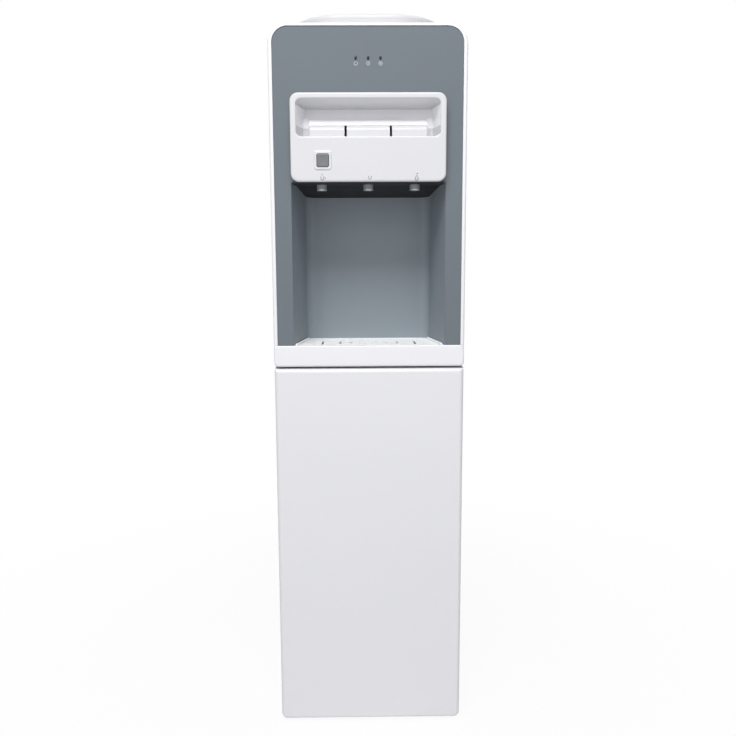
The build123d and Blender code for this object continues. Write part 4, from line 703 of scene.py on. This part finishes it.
def arc(x, z, radius, start, end, steps=24):
    """Points of an arc in the XZ plane; angles in degrees from +X."""
    turns = [math.radians(start + (end - start) * step / steps) for step in range(steps + 1)]
    return [(x + radius * math.cos(turn), z + radius * math.sin(turn)) for turn in turns]


def rounded_box(half_x, half_z, radius, steps=8):
    """Points round a rectangle with rounded corners, from its right-hand side upwards."""
    points = []
    for corner_x, corner_z, start in (
        (half_x - radius, half_z - radius, 0),
        (radius - half_x, half_z - radius, 90),
        (radius - half_x, radius - half_z, 180),
        (half_x - radius, radius - half_z, 270),
    ):
        points.extend(arc(corner_x, corner_z, radius, start, start + 90, steps))
    return points


def dense(ring, pitch):
    """Closed line with points added so that no step is longer than pitch."""
    filled = []
    for (x0, z0), (x1, z1) in zip(ring, ring[1:] + ring[:1]):
        length = math.hypot(x1 - x0, z1 - z0)
        if length < 1e-4:
            continue
        count = max(1, math.ceil(length / pitch))
        for step in range(count):
            share = step / count
            filled.append((x0 + (x1 - x0) * share, z0 + (z1 - z0) * share))
    return filled


def moved(line, x, z):
    """Line moved by x and z."""
    return [(px + x, pz + z) for px, pz in line]


def at_depth(line, y):
    """Line of (x, z) points stood up at the depth y."""
    return [(x, y, z) for x, z in line]


class Shape:
    """Points and faces gathered from several simple forms, in millimetres."""

    def __init__(self):
        self.points = []
        self.faces = []

    def loft(self, rings, ends=True):
        """Skin over a row of closed rings that have the same number of points."""
        start = len(self.points)
        count = len(rings[0])
        for ring in rings:
            self.points.extend(ring)
        for row in range(len(rings) - 1):
            first = start + row * count
            second = first + count
            for step in range(count):
                after = (step + 1) % count
                self.faces.append((first + step, first + after, second + after, second + step))
        if ends:
            self.faces.append(tuple(range(start + count - 1, start - 1, -1)))
            last = start + (len(rings) - 1) * count
            self.faces.append(tuple(range(last, last + count)))

    def turned(self, profile, x, y, steps=48):
        """Ring round an upright axis; its section is a closed line of radius and height."""
        turns = [2 * math.pi * step / steps for step in range(steps)]
        rings = [
            [(x + radius * math.cos(turn), y + radius * math.sin(turn), z) for turn in turns]
            for radius, z in profile + profile[:1]
        ]
        self.loft(rings, ends=False)

    def stroke(self, line, width, front, back, closed):
        """Flat band along a line of (x, z) points, between the depths front and back."""
        count = len(line)
        rings = []
        for index, (x, z) in enumerate(line):
            before = line[(index - 1) % count] if closed or index > 0 else line[index]
            after = line[(index + 1) % count] if closed or index < count - 1 else line[index]
            run, rise = after[0] - before[0], after[1] - before[1]
            length = math.hypot(run, rise) or 1.0
            dx, dz = -rise / length * width / 2, run / length * width / 2
            rings.append([
                (x + dx, front, z + dz), (x - dx, front, z - dz),
                (x - dx, back, z - dz), (x + dx, back, z + dz),
            ])
        if closed:
            rings.append(rings[0])
        self.loft(rings, ends=not closed)


def new_piece(name, shape, body, finish, sharp=35.0, smooth=True):
    """Mesh of a shape; it rides on a body and takes the finish named."""
    mesh = bpy.data.meshes.new(name)
    mesh.from_pydata([tuple(c * MM for c in point) for point in shape.points], [], shape.faces)
    work = bmesh.new()
    work.from_mesh(mesh)
    bmesh.ops.remove_doubles(work, verts=work.verts, dist=0.001 * MM)
    bmesh.ops.recalc_face_normals(work, faces=work.faces)
    work.to_mesh(mesh)
    work.free()
    if smooth:
        mesh.shade_smooth()
        mesh.set_sharp_from_angle(angle=math.radians(sharp))
    mesh.materials.append(make_finishes()[finish])
    piece = bpy.data.objects.new(name, mesh)
    bpy.context.scene.collection.objects.link(piece)
    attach(piece, body)
    return piece


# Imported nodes


class DISPENSER_OT_finishes(Operator):
    """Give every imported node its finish"""

    bl_idname = "dispenser.finishes"
    bl_label = "Finishes"

    def execute(self, context):
        materials = make_finishes()
        left = set(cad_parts)
        for slot, nodes in SLOT_NODES.items():
            for node in nodes:
                if node not in left:
                    raise RuntimeError(f"no packed node named {node}")
                left.remove(node)
                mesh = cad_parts[node].data
                mesh.materials.clear()
                mesh.materials.append(materials[SPECIAL_FINISH.get(node, slot)])
        if left:
            raise RuntimeError(f"nodes without a finish: {sorted(left)}")
        return {"FINISHED"}


def soften(node, width, segments):
    """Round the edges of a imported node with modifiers; its mesh stays as it is."""
    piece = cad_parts[node]
    weld = piece.modifiers.new("Join", "WELD")
    weld.merge_threshold = 0.005 * MM
    planes = piece.modifiers.new("Planes", "DECIMATE")
    planes.decimate_type = "DISSOLVE"
    planes.angle_limit = math.radians(2.0)
    bevel = piece.modifiers.new("Round", "BEVEL")
    bevel.width = width
    bevel.segments = segments
    bevel.limit_method = "ANGLE"
    bevel.angle_limit = math.radians(40.0)
    normals = piece.modifiers.new("Shade", "WEIGHTED_NORMAL")
    normals.keep_sharp = True
    normals.weight = 60


class DISPENSER_OT_soft_edges(Operator):
    """Round the edges of the keys, the tray with its grille, the sheet parts and the fittings"""

    bl_idname = "dispenser.soft_edges"
    bl_label = "Soft edges"

    def execute(self, context):
        chosen = sizes()
        for nodes, width, segments in (
            (("key_hot", "key_warm", "key_cold"), chosen.edge, 4),
            (("drip_tray", "drip_grille"), 0.6 * chosen.edge, 3),
            (FINE_EDGED, chosen.sheet_edge, 2),
        ):
            for node in nodes:
                soften(node, width, segments)
        return {"FINISHED"}


# Tap housing


def smooth_low(first, second, width):
    """Lower of two values with a soft corner."""
    share = np.clip(0.5 + 0.5 * (second - first) / width, 0.0, 1.0)
    return second * (1 - share) + first * share - width * share * (1 - share)


def rounded_wall(inside, slope, radius=2.0):
    """Depth of a wall that starts at an edge: a rounded lip, then a straight slope."""
    lean = np.arctan(slope)
    along = inside + radius * np.tan(lean / 2)
    lip = radius - np.sqrt(np.maximum(radius**2 - np.clip(along, 0.0, radius) ** 2, 0.0))
    return np.where(along <= 0, 0.0, np.where(along < radius * np.sin(lean), lip, slope * inside))


def scoop_depth(z):
    """Depth of the slanted, slightly hollow back of the finger recess at a height."""
    share = np.clip((z - SCOOP_FOOT) / (SCOOP_HEAD - SCOOP_FOOT), 0.0, 1.0)
    return SCOOP_DEPTH + (RECESS_DEPTH - SCOOP_DEPTH) * share + SCOOP_SAG * np.sin(np.pi * share)


def recess_relief(x, z):
    """Depth in millimetres of the finger recess behind the face at x, z."""
    over_x = np.abs(x) - (RECESS_HALF_X - RECESS_CORNER)
    over_z = np.abs(z - RECESS_MIDDLE) - (RECESS_HALF_Z - RECESS_CORNER)
    near_corner = (over_x > 0) & (over_z > 0)
    lean = np.arctan2(np.maximum(over_z, 1e-6), np.maximum(over_x, 1e-6)) / (math.pi / 2)
    end_slope = np.where(z > RECESS_MIDDLE, CEILING_SLOPE, FLOOR_SLOPE)
    corner_wall = rounded_wall(
        RECESS_CORNER - np.hypot(over_x, over_z), SIDE_SLOPE + (end_slope - SIDE_SLOPE) * lean
    )
    ceiling_or_floor = np.minimum(
        rounded_wall(RECESS_TOP - z, CEILING_SLOPE), rounded_wall(z - RECESS_LIP, FLOOR_SLOPE)
    )
    wall = np.minimum(rounded_wall(RECESS_HALF_X - np.abs(x), SIDE_SLOPE), ceiling_or_floor)
    wall = np.where(near_corner, np.minimum(corner_wall, wall), wall)
    beside_keys = np.clip((np.abs(x) - POCKET_SIDE) / POCKET_BLEND, 0.0, 1.0)
    pocket = scoop_depth(np.maximum(z, POCKET_TOP))
    scoop = scoop_depth(z) * (1 - beside_keys) + pocket * beside_keys
    return np.maximum(smooth_low(wall, scoop, SCOOP_BLEND), 0.0) * (wall > 0)


def bezel_relief(x, z):
    """Height in millimetres of the raised ring round the lock button."""
    over_x = np.maximum(np.abs(x - LOCK_X) - BEZEL_HALF_X, 0)
    over_z = np.maximum(np.abs(z - LOCK_Z) - BEZEL_HALF_Z, 0)
    share = np.clip((BEZEL_REACH - np.hypot(over_x, over_z)) / BEZEL_FALL, 0.0, 1.0)
    return BEZEL_HEIGHT * share * share * (3 - 2 * share)


def housing_outline(inset):
    """Outline of the tap housing about its middle, moved in by inset."""
    corner = HOUSING_CORNER - inset
    return dense(rounded_box(HOUSING_HALF_X - inset, HOUSING_HALF_Z - inset, corner, 10), 6.0)


def edge_ring(inset):
    """Outline of the housing with the same number of points at every inset."""
    straight_x, straight_z = HOUSING_HALF_X - HOUSING_CORNER, HOUSING_HALF_Z - HOUSING_CORNER
    grow = FACE_INSET - inset
    ring = []
    for x, z in housing_outline(FACE_INSET):
        dx = x - max(-straight_x, min(straight_x, x))
        dz = z - max(-straight_z, min(straight_z, z))
        length = math.hypot(dx, dz)
        ring.append((x + dx / length * grow, z + dz / length * grow + HOUSING_MIDDLE))
    return ring


def face_lines():
    """Lines that the face's triangles follow: outline, recess, bezel, pockets and openings."""
    lines = [moved(housing_outline(inset), 0.0, HOUSING_MIDDLE) for inset in (FACE_INSET, 4.0)]
    for inset in RECESS_INSETS:
        ring = rounded_box(RECESS_HALF_X - inset, RECESS_HALF_Z - inset, RECESS_CORNER - inset, 10)
        lines.append(moved(dense(ring, 1.6), 0.0, RECESS_MIDDLE))
    for grow in BEZEL_OFFSETS:
        ring = rounded_box(HOLE_HALF_X + grow, HOLE_HALF_Z + grow, HOLE_CORNER + grow)
        lines.append(moved(dense(ring, 1.5), LOCK_X, LOCK_Z))
    for x in POCKET_LINES:
        for side in (-x, x):
            lines.append([(side, z) for z in np.arange(864.0, POCKET_TOP + 2.0, 1.3)])
    lock_hole = rounded_box(HOLE_HALF_X, HOLE_HALF_Z, HOLE_CORNER)
    lines.append(moved(dense(lock_hole, 1.4), LOCK_X, LOCK_Z))
    lines.append(dense([
        (-SLOT_HALF, SCOOP_FOOT), (-SLOT_HALF, SLOT_BOTTOM),
        (SLOT_HALF, SLOT_BOTTOM), (SLOT_HALF, SCOOP_FOOT),
    ], 1.6))
    return lines


def recess_grid():
    """Points that fill the recess between its lines, clear of its rim and of the keys' slot."""
    grid = []
    for x in GRID_X:
        for z in GRID_Z:
            near_slot = abs(x) < SLOT_HALF + CLEAR_OF_SLOT and z < SCOOP_FOOT + CLEAR_OF_SLOT
            from_rim = min(RECESS_HALF_X - abs(x), RECESS_TOP - z, z - RECESS_LIP)
            if not near_slot and from_rim > CLEAR_OF_RIM:
                grid.append((x, z))
    return grid


def in_opening(x, z):
    """True inside the keys' slot and inside the rounded hole of the lock button."""
    if abs(x) < SLOT_HALF and SLOT_BOTTOM < z < SCOOP_FOOT:
        return True
    over_x, over_z = abs(x - LOCK_X) - HOLE_HALF_X, abs(z - LOCK_Z) - HOLE_HALF_Z
    if over_x >= 0 or over_z >= 0:
        return False
    corner_x, corner_z = over_x + HOLE_CORNER, over_z + HOLE_CORNER
    return min(corner_x, corner_z) <= 0 or math.hypot(corner_x, corner_z) <= HOLE_CORNER


def housing_face():
    """Places in the XZ plane and triangles of the tap housing's face."""
    points, edges = [], []
    for line in face_lines():
        start, count = len(points), len(line)
        points.extend(Vector(point) for point in line)
        edges.extend((start + step, start + (step + 1) % count) for step in range(count))
    points.extend(Vector(point) for point in recess_grid())
    result = delaunay_2d_cdt(points, edges, [], 1, 1e-4)
    places = [tuple(place) for place in result[0]]
    triangles = []
    for triangle in result[2]:
        x = sum(places[index][0] for index in triangle) / 3
        z = sum(places[index][1] for index in triangle) / 3
        if not in_opening(x, z):
            triangles.append(tuple(triangle))
    return places, triangles


def turn_in(shape):
    """Carry the rims of the openings back into the housing."""
    uses = Counter(
        tuple(sorted(pair)) for face in shape.faces for pair in zip(face, face[1:] + face[:1])
    )
    for edge, count in uses.items():
        middle_x = sum(shape.points[index][0] for index in edge) / 2
        middle_z = sum(shape.points[index][2] for index in edge) / 2
        at_opening = abs(middle_x) <= OPENINGS_HALF and OPENINGS_BOTTOM < middle_z < OPENINGS_TOP
        if count == 1 and at_opening:
            first = len(shape.points)
            for index in edge:
                x, y, z = shape.points[index]
                shape.points.append((x, y + RETURN_DEPTH, z))
            shape.faces.append((*edge, first + 1, first))


class DISPENSER_OT_tap_housing(Operator):
    """Mould the tap housing: rounded face, finger recess, lock bezel and turned-in openings"""

    bl_idname = "dispenser.tap_housing"
    bl_label = "Tap housing"

    def execute(self, context):
        places, triangles = housing_face()
        x, z = np.array(places).T
        depth = recess_relief(x, z) - bezel_relief(x, z)
        shape = Shape()
        shape.points = list(zip(x.tolist(), (TAP_FACE + depth).tolist(), z.tolist()))
        shape.faces = triangles
        turn_in(shape)
        rings = [at_depth(edge_ring(inset), TAP_FACE + back) for inset, back in HOUSING_EDGE]
        shape.loft(rings, ends=False)
        piece = new_piece(
            "tap_housing_moulding", shape, "cabinet", "housing_white", 50.0
        )
        wall = piece.modifiers.new("Wall", "SOLIDIFY")
        wall.thickness = sizes().skin
        wall.offset = -1.0
        wall.use_rim = True
        shading = piece.modifiers.new("Shade", "WEIGHTED_NORMAL")
        shading.keep_sharp = True
        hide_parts("tap_housing")
        return {"FINISHED"}


# Prints


def drop(x, z, size):
    """Outline of a water drop: round below, pointed above."""
    points = arc(x, z - 0.25 * size, 0.5 * size, 140, 400, 20)
    return points + [(x, z + 0.85 * size)]


def cup(x, z, size):
    """Outline of a cup that is open above."""
    half, low = 0.55 * size, 0.62 * size
    return [
        (x - half, z + 0.7 * size), (x - 0.8 * half, z - low + 0.3),
        (x - 0.6 * half, z - low), (x + 0.6 * half, z - low),
        (x + 0.8 * half, z - low + 0.3), (x + half, z + 0.7 * size),
    ]


def circle(x):
    """Ring round a symbol under the lights."""
    return arc(x, LIGHT_MARK_Z, LIGHT_MARK_RING, 0, 360, 28)[:-1]


def wave(x, z):
    """Wavy line that rises from x, z."""
    return [(x + 0.9 * math.sin(step * 0.7), z + step) for step in range(9)]


def star(x, z, reach, share):
    """Strokes of a star with six points."""
    strokes = []
    for turn in (0, 60, 120):
        dx, dz = reach * math.cos(math.radians(turn)), reach * math.sin(math.radians(turn))
        strokes.append(([(x - dx, z - dz), (x + dx, z + dz)], share, OPEN))
    return strokes


def print_symbols(symbols, front, back, ink):
    """Flat piece for each symbol; a stroke is a line, its share of the width, open or closed."""
    width = sizes().stroke / MM
    for name, strokes in symbols.items():
        shape = Shape()
        for line, share, closed in strokes:
            shape.stroke(line, share * width, front, back, closed)
        new_piece(name, shape, "cabinet", ink, smooth=False)


class DISPENSER_OT_prints(Operator):
    """Print the generic symbols over the taps and under the lights"""

    bl_idname = "dispenser.prints"
    bl_label = "Prints"

    def execute(self, context):
        height = sizes().print_height / MM
        over_taps = {
            "hot_print": (
                (cup(-63.0, 806.6, 3.4), 1.0, OPEN),
                (arc(-63.6, 811.4, 1.0, -60, 110, 8), 0.8, OPEN),
                (arc(-60.0, 806.8, 1.5, -80, 80, 8), 0.8, OPEN),
            ),
            "warm_print": ((cup(1.9, 807.4, 3.4), 1.0, OPEN),),
            "cold_print": (
                (drop(65.4, 806.9, 4.4), 1.0, CLOSED),
                (arc(66.2, 812.6, 0.55, 0, 350, 10), 1.1, OPEN),
                (arc(65.4, 806.4, 0.9, 190, 300, 6), 0.6, OPEN),
            ),
        }
        front, back = TAP_FACE - height, TAP_FACE + INK_SINK
        print_symbols(over_taps, front, back, "grey_ink")
        z = LIGHT_MARK_Z
        under_lights = {
            "power_print": (
                (arc(POWER_X, z, LIGHT_MARK_RING, 125, 415, 24), 0.8, OPEN),
                ([(POWER_X, z + 0.9), (POWER_X, z + 2.7)], 0.8, OPEN),
            ),
            "heat_print": (
                (circle(HEAT_X), 0.7, CLOSED),
                (drop(HEAT_X, z - 0.1, 1.3), 0.45, CLOSED),
            ),
            "chill_print": ((circle(CHILL_X), 0.7, CLOSED), *star(CHILL_X, z, 1.4, 0.45)),
        }
        front, back = FASCIA_FACE - height, FASCIA_FACE + INK_SINK
        print_symbols(under_lights, front, back, "pale_ink")
        return {"FINISHED"}


# Trim


class DISPENSER_OT_spouts(Operator):
    """Put a grey sleeve with a bright rim on every spout"""

    bl_idname = "dispenser.spouts"
    bl_label = "Spout sleeves"

    def execute(self, context):
        for tap, x in TAPS:
            for part, profile, slot, finish in (
                ("sleeve", SLEEVE_PROFILE, "valve_moulding", "spout_grey"),
                ("rim", RIM_PROFILE, "stainless", "spout_metal"),
            ):
                shape = Shape()
                shape.turned(profile, x, TAP_AXIS)
                new_piece(f"spout_{part}_{tap}", shape, "cabinet", finish, 40.0)
        return {"FINISHED"}


class DISPENSER_OT_lock_button(Operator):
    """Mould the lock button: rounded corners, a soft edge and a shallow dish"""

    bl_idname = "dispenser.lock_button"
    bl_label = "Lock button"

    def execute(self, context):
        low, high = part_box("lock_button")
        front, back = low.y / MM, high.y / MM
        flange_and_shaft = (
            (-1.8, back), (-1.8, back - 2.0), (0.0, back - 2.0), (0.0, front + 1.5),
        )
        edge_and_dish = (
            (0.12, front + 0.9), (0.4, front + 0.4), (0.9, front + 0.08), (1.5, front),
            (2.4, front + 0.06), (4.0, front + 0.3), (6.0, front + 0.5), (7.8, front + 0.58),
        )
        rings = []
        for inset, y in flange_and_shaft + edge_and_dish:
            corner = max(BUTTON_CORNER - 0.5 * inset, 0.3)
            ring = rounded_box(BUTTON_HALF_X - inset, BUTTON_HALF_Z - inset, corner)
            rings.append(at_depth(moved(ring, LOCK_X, LOCK_Z), y))
        shape = Shape()
        shape.loft(rings)
        piece = new_piece(
            "lock_button_cap", shape, "lock_button", "button_grey", 60.0
        )
        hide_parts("lock_button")
        return {"FINISHED"}


class DISPENSER_OT_light_lenses(Operator):
    """Set a small domed lens in front of every light pipe"""

    bl_idname = "dispenser.light_lenses"
    bl_label = "Light lenses"

    def execute(self, context):
        for index, x in enumerate(LIGHTS):
            rings = []
            for share, y in LENS_PROFILE:
                ring = rounded_box(LENS_HALF_X * share, LENS_HALF_Z * share, LENS_CORNER * share, 6)
                rings.append(at_depth(moved(ring, x, LIGHT_Z), FASCIA_FACE + y))
            shape = Shape()
            shape.loft(rings)
            new_piece(f"light_lens_{index + 1}", shape, "cabinet", "lens", 70.0)
        return {"FINISHED"}


class DISPENSER_OT_back_details(Operator):
    """Press louvres over the rear vents and print the symbols beside the rear switches"""

    bl_idname = "dispenser.back_details"
    bl_label = "Back details"

    def execute(self, context):
        louvres = Shape()
        for row in range(VENT_ROWS):
            z = VENT_TOP - VENT_PITCH * row
            for middle in (-VENT_X, VENT_X):
                rings = []
                for share in np.linspace(-1.0, 1.0, 25):
                    into_end = (abs(share) * LOUVRE_HALF - LOUVRE_HALF + LOUVRE_END) / LOUVRE_END
                    over = max(0.0, into_end)
                    swell = max(math.sqrt(1.0 - over * over), 0.06)
                    rings.append([
                        (middle + share * LOUVRE_HALF, BACK_FACE + y * swell, z + rise)
                        for y, rise in LOUVRE_SECTION
                    ])
                louvres.loft(rings)
        new_piece("vent_louvres", louvres, "cabinet", "zinc_steel")

        low = REAR_MARK_Z - 4.2
        marks = {
            "heat_mark": [(wave(REAR_HEAT_X + dx, low), 1.0, OPEN) for dx in (-3.4, 0.0, 3.4)],
            "chill_mark": star(REAR_CHILL_X, REAR_MARK_Z, 4.4, 1.0),
        }
        front, back = BACK_FACE + sizes().print_height / MM, BACK_FACE - INK_SINK
        print_symbols(marks, front, back, "grey_ink")
        return {"FINISHED"}


class DISPENSER_OT_valve_springs(Operator):
    """Wind the valve springs; each rides on its valve stem"""

    bl_idname = "dispenser.valve_springs"
    bl_label = "Valve springs"

    def execute(self, context):
        steps = TURN_STEPS * SPRING_TURNS
        for tap, x in TAPS:
            low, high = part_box(f"valve_spring_{tap}")
            bottom, top = low.z / MM + SPRING_WIRE, high.z / MM - SPRING_WIRE
            radius = (high.x - low.x) / 2 / MM - SPRING_WIRE
            rings = []
            for step in range(steps + 1):
                share = step / steps
                turn = 2 * math.pi * SPRING_TURNS * share
                z = bottom + (top - bottom) * share
                ring = []
                for side in range(WIRE_SIDES):
                    lean = 2 * math.pi * side / WIRE_SIDES
                    away = radius + SPRING_WIRE * math.cos(lean)
                    ring.append((
                        x + away * math.cos(turn), TAP_AXIS + away * math.sin(turn),
                        z + SPRING_WIRE * math.sin(lean),
                    ))
                rings.append(ring)
            shape = Shape()
            shape.loft(rings)
            piece = new_piece(
                f"valve_coil_{tap}", shape, f"valve_stem_{tap}",
                "spring_steel", 60.0,
            )
            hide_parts(f"valve_spring_{tap}")
            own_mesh(piece)
        return {"FINISHED"}


# Studio


def backdrop_share(tree):
    """Socket that is 1 for the camera, for mirrors and for light that passes through glass."""
    path = tree.nodes.new("ShaderNodeLightPath")
    total = path.outputs["Is Camera Ray"]
    for output in ("Is Glossy Ray", "Is Transmission Ray"):
        node = tree.nodes.new("ShaderNodeMath")
        node.operation = "MAXIMUM"
        tree.links.new(total, node.inputs[0])
        tree.links.new(path.outputs[output], node.inputs[1])
        total = node.outputs[0]
    return total


def floor_material():
    """Pale floor that keeps the object's shadow and fades into the white background."""
    finish = Finish("studio_floor", Roughness=0.8)
    finish.colour(finish.mixed(finish.noise(3.0, 2.0), (0.84, 0.84, 0.84), (0.87, 0.87, 0.87)))
    glow = finish.add("ShaderNodeEmission")
    glow.inputs["Color"].default_value = (1.0, 1.0, 1.0, 1.0)
    away = finish.add("ShaderNodeVectorMath", operation="LENGTH")
    finish.link(finish.place, away.inputs[0])
    fade = finish.spread(away.outputs["Value"], 0.25, 1.0, 0.93, 1.0)
    mix = finish.add("ShaderNodeMixShader")
    finish.link(finish.product(backdrop_share(finish.tree), fade), mix.inputs["Fac"])
    finish.link(finish.shader.outputs["BSDF"], mix.inputs[1])
    finish.link(glow.outputs["Emission"], mix.inputs[2])
    finish.link(mix.outputs["Shader"], finish.output.inputs["Surface"])
    return finish.material


def lay_floor(scene):
    """Wide pale floor."""
    mesh = bpy.data.meshes.new("studio_floor")
    mesh.from_pydata([(-6, -6, 0), (6, -6, 0), (6, 6, 0), (-6, 6, 0)], [], [(0, 1, 2, 3)])
    mesh.materials.append(floor_material())
    floor = bpy.data.objects.new("studio_floor", mesh)
    scene.collection.objects.link(floor)


def light_room(scene, strength):
    """World that lights the object evenly and is plain white where it is seen."""
    world = bpy.data.worlds.new("studio_room")
    world.use_nodes = True
    scene.world = world
    tree = world.node_tree
    tree.nodes.clear()
    output = tree.nodes.new("ShaderNodeOutputWorld")
    mix = tree.nodes.new("ShaderNodeMixShader")
    tree.links.new(backdrop_share(tree), mix.inputs["Fac"])
    for socket, colour, power in (
        (mix.inputs[1], (0.97, 0.98, 1.0, 1.0), strength),
        (mix.inputs[2], (1.0, 1.0, 1.0, 1.0), 1.0),
    ):
        light = tree.nodes.new("ShaderNodeBackground")
        light.inputs["Color"].default_value = colour
        light.inputs["Strength"].default_value = power
        tree.links.new(light.outputs["Background"], socket)
    tree.links.new(mix.outputs["Shader"], output.inputs["Surface"])


def softbox(name, place, aim, width, height, power):
    """Large area lamp that faces a point."""
    lamp = bpy.data.lights.new(name, "AREA")
    lamp.shape = "RECTANGLE"
    lamp.size, lamp.size_y, lamp.energy = width, height, power
    box = bpy.data.objects.new(name, lamp)
    bpy.context.scene.collection.objects.link(box)
    box.location = place
    box.rotation_euler = (Vector(aim) - Vector(place)).to_track_quat("-Z", "Y").to_euler()


def camera_turn(yaw, pitch, roll):
    """Rotation of a camera that looks along +Y, turned right, tilted down and rolled."""
    ahead = Vector((
        math.sin(yaw) * math.cos(pitch), math.cos(yaw) * math.cos(pitch), -math.sin(pitch),
    ))
    right = Vector((math.cos(yaw), -math.sin(yaw), 0.0))
    up = right.cross(ahead)
    side = right * math.cos(roll) + up * math.sin(roll)
    over = up * math.cos(roll) - right * math.sin(roll)
    return Matrix((side, over, -ahead)).transposed()


class DISPENSER_OT_studio(Operator):
    """Set the floor, the lamps, the white background and the camera"""

    bl_idname = "dispenser.studio"
    bl_label = "Studio"

    def execute(self, context):
        scene = context.scene
        chosen = scene.dispenser_studio
        lay_floor(scene)
        light_room(scene, chosen.room)
        softbox("front_lamp", (-0.3, -2.7, 1.35), (0.0, -0.1, 0.6), 4.0, 1.7, chosen.front_power)
        softbox("high_lamp", (-0.2, -1.5, 2.65), (0.0, -0.12, 0.72), 1.2, 0.9, chosen.high_power)
        softbox("top_lamp", (0.0, 0.1, 2.8), (0.0, 0.0, 1.0), 1.4, 1.4, chosen.top_power)
        lens = bpy.data.cameras.new("studio_camera")
        lens.sensor_fit = "HORIZONTAL"
        lens.sensor_width = 36.0
        lens.lens = chosen.lens
        lens.clip_start, lens.clip_end = 0.05, 50.0
        camera = bpy.data.objects.new("studio_camera", lens)
        scene.collection.objects.link(camera)
        turn = camera_turn(chosen.yaw, chosen.pitch, chosen.roll)
        camera.matrix_world = Matrix.Translation(Vector(chosen.eye)) @ turn.to_4x4()
        scene.camera = camera
        scene.view_settings.view_transform = "Standard"
        return {"FINISHED"}


# Sidebar and registration

OPERATORS = (
    DISPENSER_OT_finishes,
    DISPENSER_OT_soft_edges,
    DISPENSER_OT_tap_housing,
    DISPENSER_OT_prints,
    DISPENSER_OT_spouts,
    DISPENSER_OT_lock_button,
    DISPENSER_OT_light_lenses,
    DISPENSER_OT_back_details,
    DISPENSER_OT_valve_springs,
    DISPENSER_OT_studio,
)
GROUPS = (
    ("dispenser_colours", DispenserColours),
    ("dispenser_sizes", DispenserSizes),
    ("dispenser_studio", DispenserStudio),
)


class DISPENSER_PT_sidebar(Panel):
    """Steps and settings of the dispenser's finishes."""

    bl_idname = "DISPENSER_PT_sidebar"
    bl_label = "Water dispenser"
    bl_space_type = "VIEW_3D"
    bl_region_type = "UI"
    bl_category = "Dispenser"

    def draw(self, context):
        for operator in OPERATORS:
            self.layout.operator(operator.bl_idname)
        for name, group in GROUPS:
            box = self.layout.box()
            for field in group.__annotations__:
                box.prop(getattr(context.scene, name), field)


def register():
    """Register the settings, the steps and the sidebar."""
    for name, group in GROUPS:
        bpy.utils.register_class(group)
        setattr(bpy.types.Scene, name, PointerProperty(type=group))
    for operator in OPERATORS:
        bpy.utils.register_class(operator)
    bpy.utils.register_class(DISPENSER_PT_sidebar)


def unregister():
    """Take the sidebar, the steps and the settings away again."""
    bpy.utils.unregister_class(DISPENSER_PT_sidebar)
    for operator in reversed(OPERATORS):
        bpy.utils.unregister_class(operator)
    for name, group in reversed(GROUPS):
        delattr(bpy.types.Scene, name)
        bpy.utils.unregister_class(group)


def main():
    """Run every step in order."""
    register()
    for operator in OPERATORS:
        group, step = operator.bl_idname.split(".")
        getattr(getattr(bpy.ops, group), step)()


if __name__ == "__main__":
    main()
